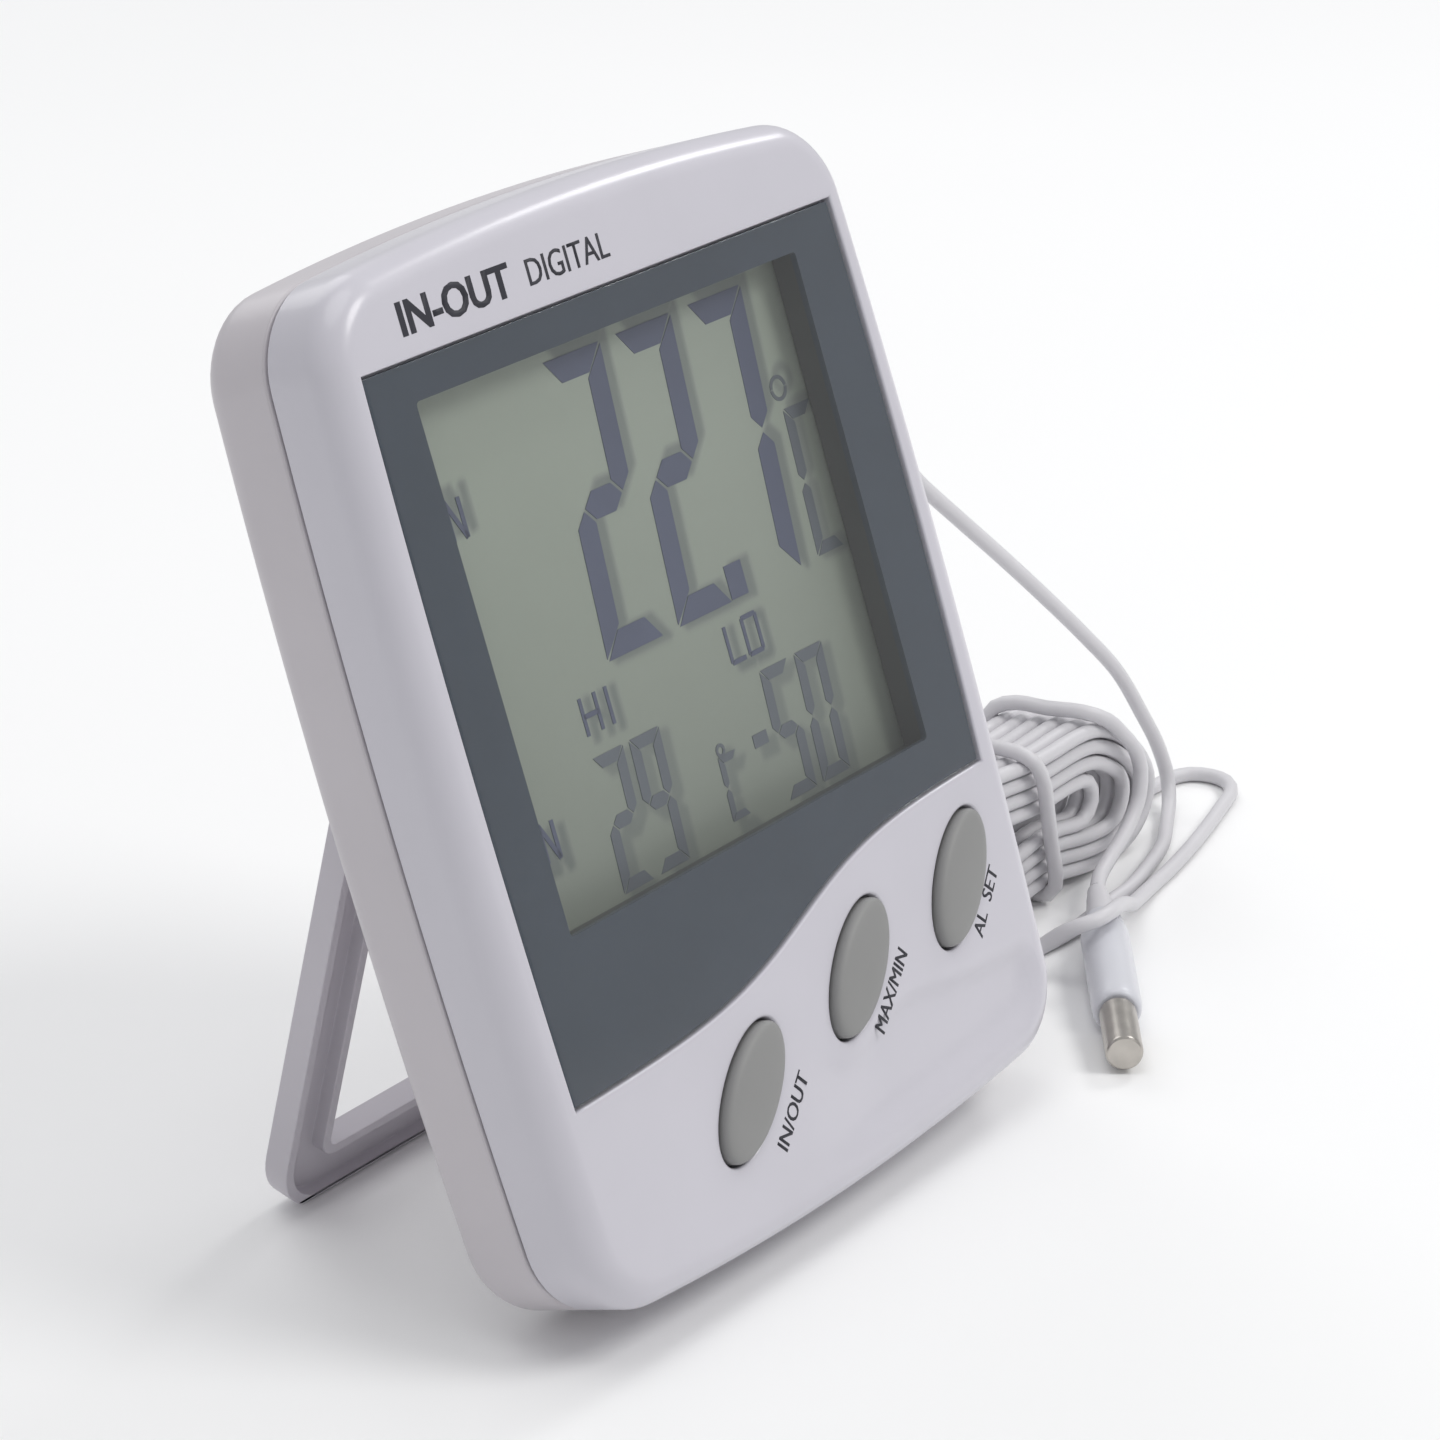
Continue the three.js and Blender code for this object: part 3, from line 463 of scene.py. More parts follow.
def oval(x, z, long, short, tilt, count=56):
    """An ellipse about x, z; long and short are its half lengths."""
    t = math.radians(tilt)
    out = []
    for i in range(count):
        a = 2 * math.pi * i / count
        u, v = long * math.cos(a), short * math.sin(a)
        out.append((x + u * math.cos(t) - v * math.sin(t), z + u * math.sin(t) + v * math.cos(t)))
    return out


def on_circle(x, z, radius, turns):
    return [(x + radius * math.cos(a), z + radius * math.sin(a)) for a in turns]


def arc(x, z, radius, start, sweep, steps):
    """Points along an arc with both its ends; the angles are degrees."""
    return on_circle(x, z, radius, [math.radians(start + sweep * i / steps) for i in range(steps + 1)])


def grown(box, by):
    """A box (low x, high x, low z, high z) made larger all round."""
    x0, x1, z0, z1 = box
    return x0 - by, x1 + by, z0 - by, z1 + by


def box_loop(x0, x1, z0, z1, radius=0.6, steps=4):
    """A rectangle with rounded corners."""
    out = arc(x1 - radius, z0 + radius, radius, -90, 90, steps)
    out += arc(x1 - radius, z1 - radius, radius, 0, 90, steps)
    out += arc(x0 + radius, z1 - radius, radius, 90, 90, steps)
    return out + arc(x0 + radius, z0 + radius, radius, 180, 90, steps)


def disc(x, z, radius, count=28):
    return on_circle(x, z, radius, [2 * math.pi * i / count for i in range(count)])


OUTLINE = case_loop()
FACE_FILLET, BACK_FILLET = 3.3, 2.0
FACE_EDGE = offset(OUTLINE, -FACE_FILLET)
RIM_STEPS = 3


def hole(body, loop, depth, rim):
    """A hole's rounded rim and its wall, from the face down to depth; returns the rim's outer loop."""
    body.rings(loop, [(-inset, drop) for inset, drop in quarter(rim, RIM_STEPS)] + [(0, depth)])
    return offset(loop, rim)


# ---- front shell ----


def key_loop(key, grow):
    _, x, z, tilt = BUTTONS[key]
    return oval(x, z, BUTTON_LONG + grow, BUTTON_SHORT + grow, tilt)


RIDGE_X, RIDGE_Z, RIDGE_DROP = 17, 15.0, 0.95
KEY_RIMS = [key_loop(key, 0.75) for key in BUTTONS]


def swell(x, z):
    """The soft ridge under the keys: the face falls back below it, away from edges and keys."""
    crest = RIDGE_Z + 1.2 * math.exp(-(((x - RIDGE_X) / 8) ** 2)) - 0.04 * max(0, x - RIDGE_X)
    below = (crest + 1.0 - z) / 2.0
    edge = near(FACE_EDGE, x, z) / 4
    clear = min(max(0.0, min(1.0, (near(key, x, z) - 0.4) / 3)) for key in KEY_RIMS)
    return RIDGE_DROP * ease(below) * ease(edge) * ease(clear) * ease((x + 8) / 18)


def front_case():
    body = Body()
    rim = PARTING - PARTING_GAP
    inner_inset, spacing = 4, 0.95
    chamfer = [(0, rim - 0.3), (0.3, rim)]
    body.rings(OUTLINE, quarter(FACE_FILLET, 10, 4) + chamfer + [(SIDE_WALL, rim)])
    body.rings(OUTLINE, [(SIDE_WALL, rim), (2, 4.4), (2.6, 3), (inner_inset, FACE_WALL)])
    window = window_loop(0.3)
    holes = [hole(body, window, WINDOW_SEAT, 0.3)]
    well = box_loop(*grown(WELL, 1.6))
    body.fill(window, [well], WINDOW_SEAT)
    body.rings(well, [(0, WINDOW_SEAT), (0, FACE_WALL)])
    inner = [well]
    for key in BUTTONS:
        loop = key_loop(key, 0.35)
        holes.append(hole(body, loop, FACE_WALL, 0.4))
        inner.append(loop)
    body.fill(FACE_EDGE, holes, 0, spacing, swell)
    body.fill(offset(OUTLINE, -inner_inset), inner, FACE_WALL)
    piece("front_shell", body.verts, body.faces, SHELL, slot="case", replaces=["front_case"], sharp=60)


# ---- rear shell ----


DOOR_HOLE = (-28.2, 28.2, 14.6, 29.8)
CELL_TRAY = (-27.3, 27.3, 16, 28.4)
DOOR_SEAT, TRAY_FLOOR = 17.1, 6.9
SCREW_WELLS = ((-35.5, 108.8), (35.5, 108.8), (-24, 6.6), (24, 6.6))
SCREW_SEAT = 15.7
VENTS, VENT_PITCH = 5, 3
SOUND_X, SOUND_Z, SOUND_REACH = -17, 84, 4


def rear_cover():
    body = Body()
    rim = PARTING + PARTING_GAP
    inner_inset = 3.5
    fillet = [(inset, DEPTH - drop) for inset, drop in quarter(BACK_FILLET, 8, 3)[::-1]]
    body.rings(OUTLINE, [(SIDE_WALL, rim), (0.3, rim), (0, rim + 0.3)] + fillet)
    body.rings(OUTLINE, [(SIDE_WALL, rim), (2, 15.4), (2.6, 16.5), (inner_inset, BACK_WALL)])
    outer_holes, inner_holes = [], []

    def sunk(loop, size, depth=BACK_WALL):
        """A hole in the back face with a rim of that size: right through, or down to a floor."""
        levels = [(-inset, DEPTH - drop) for inset, drop in quarter(size, RIM_STEPS)]
        body.rings(loop, levels + [(0, depth)])
        outer_holes.append(offset(loop, size))
        if depth == BACK_WALL:
            inner_holes.append(loop)
        else:
            body.fill(loop, [], depth)

    door = box_loop(*DOOR_HOLE, 1)
    tray = box_loop(*CELL_TRAY, 1)
    lip = 0.3
    turns = (0, 0.5, 1.05, math.pi / 2)
    steps = [(-lip * (1 - math.sin(a)), DEPTH - lip * (1 - math.cos(a))) for a in turns]
    body.rings(door, steps + [(0, DOOR_SEAT)])
    outer_holes.append(offset(door, lip))
    body.fill(door, [tray], DOOR_SEAT)
    body.rings(tray, [(0, DOOR_SEAT), (0, TRAY_FLOOR)])
    body.fill(tray, [], TRAY_FLOOR)
    for x, z in SCREW_WELLS:
        sunk(disc(x, z, 3), 0.2, SCREW_SEAT)
    for i in range(VENTS):
        sunk(box_loop(17, 31, 97.3 - VENT_PITCH * i, 98.7 - VENT_PITCH * i, 0.68, 5), 0.2)
    for i in range(7):
        reach = 0 if i == 6 else SOUND_REACH
        x = SOUND_X + reach * math.cos(i * math.pi / 3)
        z = SOUND_Z + reach * math.sin(i * math.pi / 3)
        sunk(disc(x, z, 0.8, 16), 0.15)
    sunk(box_loop(15, 23, 45.6, 48.4, 0.4), 0.25)
    body.fill(offset(OUTLINE, -BACK_FILLET), outer_holes, DEPTH)
    body.fill(offset(OUTLINE, -inner_inset), inner_holes, BACK_WALL)
    piece("rear_shell", body.verts, body.faces, REAR, slot="case", replaces=["rear_cover"], sharp=60)
    for side, tag in ((-1, "left"), (1, "right")):
        hinge_ear(side, tag)


def hinge_ear(side, tag):
    """One of the two ears that hold the stand's stub pins."""
    y0, z0 = HINGE
    root = ((-0.4, 5.4), (0, 5), (0.25, 4.2))
    outline = [(DEPTH + rise, z0 - spread) for rise, spread in root]
    outline += arc(y0, z0, 2.3, -75, 150, 14)
    outline += [(DEPTH + rise, z0 + spread) for rise, spread in root[::-1]]
    slices = ((37.75, 0.25), (38, 0), (40.25, 0), (40.5, 0.25))
    rings = [[(side * x, y, z) for y, z in offset(outline, -inset)] for x, inset in slices]
    piece(f"hinge_ear_{tag}", *tube(rings), REAR, slot="case")


# ---- window, display and keys ----


def slab(name, loop, front, back, look, rim, replaces=(), holes=()):
    """A window layer with softly rounded edges front and back."""
    made = Body()
    edge = quarter(rim, RIM_STEPS)
    made.rings(loop, [(inset, front + drop) for inset, drop in edge]
               + [(inset, back - drop) for inset, drop in edge[::-1]])
    for opening in holes:
        made.rings(opening, [(0, front), (0, back)])
    for depth in (front, back):
        made.fill(offset(loop, -rim), list(holes), depth)
    piece(name, made.verts, made.faces, look, slot="window", replaces=replaces, sharp=50)


def display():
    """The clear sheet, the border behind it, and a panel meshed finely enough to be painted."""
    slab("clear_window", window_loop(), 0.1, 0.44, CLEAR, 0.1, ["display_window"])
    opening = box_loop(-33.8, 32.5, 42.3, 100.2, 0.5)
    slab("window_border", window_loop(-0.05), 0.47, 1.28, SLATE, 0.06, holes=[opening])
    x0, x1, z0, z1 = grown(WELL, 2.5)
    columns, rows = 170, 150
    verts = [(x0 + (x1 - x0) * c / (columns - 1), LCD_FACE, z0 + (z1 - z0) * r / (rows - 1))
             for r in range(rows) for c in range(columns)]
    faces = grid_faces(rows, columns, closed=False)
    base = len(verts)
    rim = list(range(columns))
    rim += [r * columns + columns - 1 for r in range(1, rows)]
    rim += [(rows - 1) * columns + c for c in range(columns - 2, -1, -1)]
    rim += [r * columns for r in range(rows - 2, 0, -1)]
    verts += [(verts[i][0], LCD_BACK, verts[i][2]) for i in rim]
    for i, corner in enumerate(rim):
        n = (i + 1) % len(rim)
        faces.append((corner, rim[n], base + n, base + i))
    faces.append(tuple(range(base, len(verts))))
    panel = piece("display_panel", verts, faces, LCD, slot="lcd", replaces=["lcd_panel"], sharp=30)
    paint_shadows(panel)


# The sizes of the display's figures, and which of their segments are lit.
BIG = dict(width=10.1, height=32.6, stroke=3.1, slant=0.085, gap=0.28)
SMALL = dict(width=5.3, height=15.0, stroke=1.55, slant=0.06, gap=0.16)
UNIT = dict(width=5.2, height=17.2, stroke=1.6, slant=0.05, gap=0.2)
TINY = dict(width=3.3, height=7.4, stroke=0.95, slant=0.04, gap=0.1)
LIT = {"0": "abcdef", "2": "abged", "5": "afgcd", "7": "abc", "9": "abcdfg", "C": "afed"}


def digit(mark, left, top, width, height, stroke, slant, gap):
    """The lit segments of one figure, as polygons; left and top are its upper left corner."""
    w, h, s, g = width, height, stroke, gap
    mid = h / 2
    cut = s * 0.5
    lip, thin = s * 0.78, s * 0.9
    shapes = {
        "a": [(g, 0), (w - g, 0), (w - g - lip, thin), (g + lip, thin)],
        "d": [(g + lip, h - thin), (w - g - lip, h - thin), (w - g, h), (g, h)],
        "g": [(g + cut, mid), (g + s, mid - cut), (w - g - s, mid - cut), (w - g - cut, mid),
              (w - g - s, mid + cut), (g + s, mid + cut)],
        "f": [(0, g), (s, s + g), (s, mid - cut - g), (cut, mid - g), (0, mid - cut - g)],
        "b": [(w - s, s + g), (w, g), (w, mid - cut - g), (w - cut, mid - g), (w - s, mid - cut - g)],
        "e": [(0, mid + cut + g), (cut, mid + g), (s, mid + cut + g), (s, h - s - g), (0, h - g)],
        "c": [(w - s, mid + cut + g), (w - cut, mid + g), (w, mid + cut + g), (w, h - g), (w - s, h - s - g)],
    }
    return [[(left + x + slant * (h - y), top - y) for x, y in shapes[key]] for key in LIT[mark]]


def ring_mark(x, z, radius, stroke, sides=20):
    """A degree sign as two thin half rings."""
    gap = 0.04
    out = []
    for start in (0, math.pi):
        turns = [start + gap + (math.pi - 2 * gap) * i / sides for i in range(sides + 1)]
        out.append(on_circle(x, z, radius, turns) + on_circle(x, z, radius - stroke, turns[::-1]))
    return out


def bar(x0, z0, x1, z1, stroke):
    """A straight stroke of a display word."""
    ahead = Vector((x1 - x0, z1 - z0)).normalized()
    n = Vector((-ahead.y, ahead.x)) * stroke / 2
    return [(x0 + n.x, z0 + n.y), (x1 + n.x, z1 + n.y), (x1 - n.x, z1 - n.y), (x0 - n.x, z0 - n.y)]


GLYPHS = {  # strokes from 0, 0 at the lower left to 1, 1
    "H": [(0, 0, 0, 1), (1, 0, 1, 1), (0, 0.5, 1, 0.5)],
    "I": [(0.5, 0, 0.5, 1)],
    "L": [(0, 0, 0, 1), (0, 0, 1, 0)],
    "O": [(0, 0, 0, 1), (1, 0, 1, 1), (0, 0, 1, 0), (0, 1, 1, 1)],
    "N": [(0, 0, 0, 1), (0, 1, 1, 0), (1, 0, 1, 1)],
}


def word(text, left, base, high, wide, stroke, pitch):
    """A short display word made of straight strokes."""
    out = []
    for i, letter in enumerate(text):
        start = left + i * pitch
        for a, b, c, d in GLYPHS[letter]:
            out.append(bar(start + wide * a, base + high * b, start + wide * c, base + high * d, stroke))
    return out


def marks():
    """Every lit mark of the display: the polygons of the dark ones, then those of the faint ones."""
    top = 98.4
    big = (digit("2", -11.3, top, **BIG) + digit("2", 1.4, top, **BIG) + digit("7", 14.5, top, **BIG)
           + [bar(12.9, top - 28.6, 12.9, top - 32.5, 3.1)])
    unit = digit("C", 28.0, 83.3, **UNIT) + ring_mark(29.1, 85.8, 1.5, 0.45)
    small = (digit("2", -18.9, 57.0, **SMALL) + digit("9", -12.5, 57.0, **SMALL)
             + digit("5", 11.6, 57.2, **SMALL) + digit("0", 18.2, 57.2, **SMALL)
             + [bar(8.3, 50.2, 10.9, 50.2, 1.5)] + digit("C", 1.4, 50.6, **TINY)
             + ring_mark(2.5, 51.2, 0.8, 0.4, 12))
    words = (word("HI", -17.4, 59.4, 4.2, 2.5, 0.55, 3.2) + word("LO", 8.6, 59.4, 4.2, 2.5, 0.55, 3.3)
             + word("IN", -31.2, 84.4, 4.4, 2.2, 0.6, 2.2) + word("IN", -31.0, 49.0, 4.2, 2.1, 0.6, 2.1))
    return big + words, unit + small


def segments():
    strong, faint = marks()
    for name, shapes, look in (("display_figures", strong, SEGMENT), ("display_small_figures", faint, FAINT)):
        verts, faces = [], []
        for shape in shapes:
            front = len(verts)
            count = len(shape)
            back = front + count
            verts += [(x, MARK_FRONT, z) for x, z in shape] + [(x, MARK_BACK, z) for x, z in shape]
            faces.append(tuple(range(front, back)))
            faces.append(tuple(range(back + count - 1, back - 1, -1)))
            for i in range(count):
                n = (i + 1) % count
                faces.append((front + i, front + n, back + n, back + i))
        piece(name, verts, faces, look, slot="dark", sharp=20)


def paint_shadows(panel):
    """Soft shadows that the lit marks throw on the reflector, a little to the right of each."""
    strong, faint = marks()
    layer = panel.data.color_attributes.new("shade", "FLOAT_COLOR", "POINT")
    right, down, blur = 1.25, 0.35, 0.7
    shapes = []
    for group, weight in ((strong, 0.55), (faint, 0.42)):
        for shape in group:
            moved = [(x + right, z - down) for x, z in shape]
            xs, zs = zip(*moved)
            shapes.append((moved, weight, *grown((min(xs), max(xs), min(zs), max(zs)), blur)))
    for vertex, colour in zip(panel.data.vertices, layer.data):
        x, z = vertex.co.x / MM, vertex.co.z / MM
        value = 0.0
        for shape, weight, x0, x1, z0, z1 in shapes:
            if x0 < x < x1 and z0 < z < z1:
                share = 1 if inside(shape, x, z) else max(0, 1 - near(shape, x, z) / blur)
                value = max(value, weight * share)
        colour.color = (value, value, value, 1)


def keys():
    """Three domed ovals, each with the flange that keeps it in the case."""
    rim, peak = -1.05, -0.3
    # The dome and wall: the share of the oval's size, and the depth behind rim (negative in front).
    crown = (
        (0.12, -0.30), (0.3, -0.29), (0.5, -0.25), (0.68, -0.18), (0.8, -0.09), (0.88, 0.03),
        (0.94, 0.17), (0.98, 0.4), (0.997, 0.75), (1, 1.1), (1, 3.7),
    )
    for name, (body, x, z, tilt) in BUTTONS.items():
        rings = []
        for share, drop in crown:
            loop = oval(x, z, BUTTON_LONG * share, BUTTON_SHORT * share, tilt)
            rings.append([(u, rim + drop, w) for u, w in loop])
        rings += [[(u, depth, w) for u, w in key_loop(name, 1.1)] for depth in (2.7, 3.3)]
        verts = [(x, rim + peak, z)] + [point for ring in rings for point in ring]
        count = len(rings[0])
        faces = [tuple(1 + i for i in face) for face in grid_faces(len(rings), count)]
        faces += [(0, 1 + i, 1 + (i + 1) % count) for i in range(count)]
        faces.append(tuple(range(len(verts) - count, len(verts))))
        piece(name + "_cap", verts, faces, KEY_GREY, CASE, body, "keys", [name], 50)


def text(name, words, height, x, z, angle=0.0, weight=0.0, stretch=1.0, bold=0.05):
    """Printed letters on the face, lower left corner at x, z, made bolder by a second copy."""
    curve = bpy.data.curves.new(name, "FONT")
    curve.body = words
    curve.offset = weight
    curve.resolution_u = 3
    maker = link(name, curve)
    flat = evaluated(maker)
    bpy.data.objects.remove(maker)
    lows = min(v.co.y for v in flat.vertices)
    tall = max(v.co.y for v in flat.vertices) - lows
    left = min(v.co.x for v in flat.vertices)
    turn = math.radians(angle)
    verts, faces = [], []
    for shift in (-bold, bold):
        base = len(verts)
        depth = PRINT_DEPTH - PRINT_STEP * len(faces)
        for v in flat.vertices:
            u = (v.co.x - left) / tall * height * stretch + shift
            w = (v.co.y - lows) / tall * height
            across = u * math.cos(turn) - w * math.sin(turn)
            up = u * math.sin(turn) + w * math.cos(turn)
            verts.append((x + across, depth, z + up))
        faces += [tuple(base + i for i in face.vertices) for face in flat.polygons]
    obj = linked_mesh(name, verts, faces)
    obj.modifiers.new("ink", "SOLIDIFY").thickness = INK_THICKNESS * MM
    dress(obj, INK, sharp=30)


def lettering():
    text("print_title", "IN-OUT", 3.7, -33.3, 106.8, weight=0.02, stretch=1.04, bold=0.09)
    text("print_subtitle", "DIGITAL", 2.9, -12.6, 107.1, stretch=0.9)
    text("print_in_out", "IN/OUT", 1.95, -10.9, 8.9, 42, stretch=0.97, bold=0.06)
    text("print_max_min", "MAX/MIN", 1.9, 10.3, 14.4, 41, stretch=0.92, bold=0.06)
    text("print_al_set", "AL  SET", 1.9, 32.0, 17.9, 45, stretch=0.98, bold=0.06)


# ---- stand, door, grommet, probe ----


def prism(name, loop, low, high, across_x=False):
    """An outline in x and z given depth, or one in y and z given width."""
    count = len(loop)
    if across_x:
        verts = [(low, y, z) for y, z in loop] + [(high, y, z) for y, z in loop]
    else:
        verts = [(x, low, z) for x, z in loop] + [(x, high, z) for x, z in loop]
    faces = [tuple(range(count)), tuple(range(count, 2 * count))]
    faces += [(i, (i + 1) % count, count + (i + 1) % count, count + i) for i in range(count)]
    return solid(name, verts, faces)


def carve(obj, tools, rim, segments=3):
    """Applies (operation, solid) pairs to obj, then rounds its sharp edges."""
    for operation, tool in tools:
        change = obj.modifiers.new("change", "BOOLEAN")
        change.operation = operation
        change.object = tool
        change.solver = "EXACT"
    soft = obj.modifiers.new("soft", "BEVEL")
    soft.width = rim * MM
    soft.segments = segments
    soft.limit_method = "ANGLE"
    soft.angle_limit = math.radians(38)
    made = evaluated(obj)
    obj.modifiers.clear()
    obj.data = made
    for _, tool in tools:
        bpy.data.objects.remove(tool)


STAND_OUTER, STAND_INNER = 37.4, 30.2
STAND_FOOT, STAND_BAR = -60.57, -52.97


def stand_loop(inset):
    """The U of the stand in its own frame, or the channel in its front, which is inset all round."""
    outer, inner = STAND_OUTER - inset, STAND_INNER + inset
    foot, bar_top = STAND_FOOT + inset, STAND_BAR - inset
    top = -4.5 if inset else 4
    turn, bend = 8 - inset, 1.5 + inset
    loop = [(-outer, top)]
    loop += arc(-outer + turn, foot + turn, turn, 180, 90, 12)
    loop += arc(outer - turn, foot + turn, turn, 270, 90, 12)
    loop += [(outer, top), (inner, top)]
    loop += arc(inner - bend, bar_top + bend, bend, 0, -90, 6)
    loop += arc(-inner + bend, bar_top + bend, bend, 270, -90, 6)
    return loop + [(-inner, top)]


def kickstand():
    """The U cut to its side outline: a rounded foot, and a heel that stops it against the case."""
    front, back, heel = 1.7, 1.6, 3
    half, middle = (front + back) / 2, (back - front) / 2
    base = front * math.tan(STAND_OPEN / 2)
    foot = STAND_FOOT + half
    side = [(-front, base), (-front, foot)]
    side += arc(middle, foot, half, 180, 180, 12)[1:-1]
    side += [(back, foot), (back, 0.8), (0.9, heel - 0.4)]
    side.append((-front + heel * math.sin(STAND_OPEN) - 0.1, base + heel * math.cos(STAND_OPEN) - 0.6))
    frame_bar = prism("stand_frame", stand_loop(0), -4, 4)
    cutter = prism("stand_side", side, -40, 40, across_x=True)
    channel = prism("stand_channel", stand_loop(1.3), -4, 0.1)
    carve(frame_bar, [("INTERSECT", cutter), ("DIFFERENCE", channel)], 0.35)
    dress(frame_bar, STAND_WHITE, STAND, "stand", ["kickstand"], 40)
    stub = [(0.9, 0), (1.2, 0.3), (1.2, 2.4), (1.0, 2.7)]
    for way, tag in ((-1, "left"), (1, "right")):
        pin = lathe(stub, (way * 37.3, 0, 0), (way, 0, 0), 24)
        piece(f"stand_pin_{tag}", *pin, STAND_WHITE, STAND, "stand", "stand")


def battery_door():
    """A plate with a thumb dent and five grooves that shorten towards it."""
    panel = prism("door_panel", box_loop(-27.9, 27.9, 14.9, 29.5, 1), 17.4, 18.85)
    outside = 20
    tools = [("DIFFERENCE", prism("door_dent", box_loop(-6, 6, 25.0, 28.0, 1.4), 18.2, outside))]
    for i in range(5):
        half = 8 - 0.8 * i
        groove = box_loop(-half, half, 17.6 + i, 18.1 + i, 0.2)
        tools.append(("DIFFERENCE", prism("door_rib", groove, 18.5, outside)))
    carve(panel, tools, 0.14, 2)
    dress(panel, REAR, CASE, "door", ["battery_door"], 40)


def grommet():
    """The strain relief in the side wall: a flange inside, a collar outside, five tapering ribs."""
    profile = [
        (1.3, -3.2), (2.9, -3.2), (3, -3.1), (3, -2.5), (2.2, -2.4), (2.2, 0.3),
        (2.85, 0.3), (3, 0.45), (3, 0.95), (2.85, 1.1), (2.6, 1.25),
    ]
    for i in range(5):
        start, radius = 1.9 + i * 1.15, 2.45 - 0.1 * i
        profile += [(radius, start), (radius, start + 0.55)]
        profile += [(radius - 0.35, start + 0.65), (radius - 0.38, start + 1.05)]
    profile += [(1.95, 7.7), (1.75, 8), (1.3, 8)]
    verts, faces = lathe(profile, (45.9, 13, 71.25), (1, 0, 0), 36)
    return piece("lead_grommet", verts, faces, CORD_WHITE, slot="cord", replaces=["cable_grommet"], sharp=50)


PROBE_AT = Vector((85.2, -6.37, 4.05))
PROBE_TOWARDS = Vector((-0.807, -0.5906, -0.028)).normalized()


def probe():
    """Neck, body and metal tip, each a profile of (radius, distance) along the probe's line."""
    neck = [(1.05, 0.3), (1.3, 0.45), (1.38, 1.5), (1.6, 3), (1.85, 6.5), (2.0, 8.8)]
    shell = [
        (2.0, 9.0), (2.35, 9.1), (2.55, 9.5), (2.68, 10.4), (2.8, 11.6), (2.85, 12.2), (2.62, 12.4),
        (2.6, 12.9), (2.78, 13.1), (3.05, 13.3), (3.1, 13.8), (3.1, 31.2), (3.02, 32.4), (2.85, 33.0),
        (2.6, 33.25), (2.4, 33.3),
    ]
    cap = [(2.0, 33.6), (2.28, 33.7), (2.3, 34.0), (2.3, 43.2), (2.22, 43.6), (2.0, 43.8)]
    out = []
    for name, profile, look, slot, node in (
        ("sensor_neck", neck, CORD_WHITE, "cord", "probe_neck"),
        ("sensor_body", shell, PROBE_WHITE, "case", "probe_body"),
        ("sensor_tip", cap, NICKEL, "nickel", "probe_tip"),
    ):
        verts, faces = lathe(profile, PROBE_AT, PROBE_TOWARDS, 48)
        out.append(piece(name, verts, faces, look, WORLD, "case", slot, [node], 35))
    return out


# ---- the lead ----

# The lead's line, in millimetres of the shared frame, from the case to the probe.
LEAD_TO_HANK = [
    (54.35, 6.75, 68.37), (57.6, 6.73, 67.02), (62.9, 6.48, 62.42), (71.2, 6.38, 55.72),
    (80.6, 6.38, 48.22), (90.5, 6.38, 40.12), (100.9, 6.38, 31.32), (109.6, 6.38, 23.42),
    (116.3, 6.38, 15.22), (120.6, 6.08, 8.92), (121.7, 5.08, 4.22), (119.6, 3.48, 1.72),
    (115, 1.08, 1.07), (108.5, -2.22, 1.07), (101, -4.42, 1.07), (94, -5.92, 1.07), (88.6, -6.12, 1.07),
    (84, -6.52, 1.07), (79.2, -6.82, 1.07), (71.3, -6.22, 1.07), (64, -4.72, 1.07), (56, -3.52, 1.07),
    (50.5, -2.72, 1.07), (46.6, -1.1, 1.12), (44.6, 2.2, 1.42), (45.8, 5.0, 2.62),
    (48.3, 5.2, 4.9), (50.2, 3.7, 7.4),
]
LEAD_LOOP = [
    (110.2, 12.6, 11.6), (112.9, 11.0, 8.8), (114.0, 9.0, 6.7), (115.6, 8.0, 4.9), (118.0, 7.9, 3.1),
    (121.4, 8.3, 1.7), (125.8, 8.6, 1.07), (128.7, 8.3, 1.07), (131.2, 6.9, 1.07), (132.3, 4.3, 1.07),
    (131.7, 1.5, 1.07), (129.0, -0.7, 1.07), (124.4, -2.1, 1.07), (116.7, -4.12, 1.07), (108.9, -5.92, 1.1),
    (102, -7.22, 1.12), (96.2, -8.1, 1.2), (90.2, -9.7, 2.1), (85, -11.7, 3.7), (80.5, -13.4, 5.9),
    (76.3, -14.9, 7.6), (72.6, -15.9, 8.4), (69.6, -15.8, 8.4), (67.6, -14.2, 7.8), (67.0, -11.9, 6.2),
    (66.2, -9.9, 4.3), (63.6, -8.8, 2.4), (59.5, -8.2, 1.3), (55, -7.32, 1.07), (48, -6.32, 1.07),
    (42.6, -4.12, 1.07), (40.2, 1.48, 1.07), (40.2, 8.88, 1.07), (42.8, 14.28, 1.07), (48.4, 16.28, 1.07),
    (60, 16.48, 1.07), (70.5, 16.4, 1.07),
]
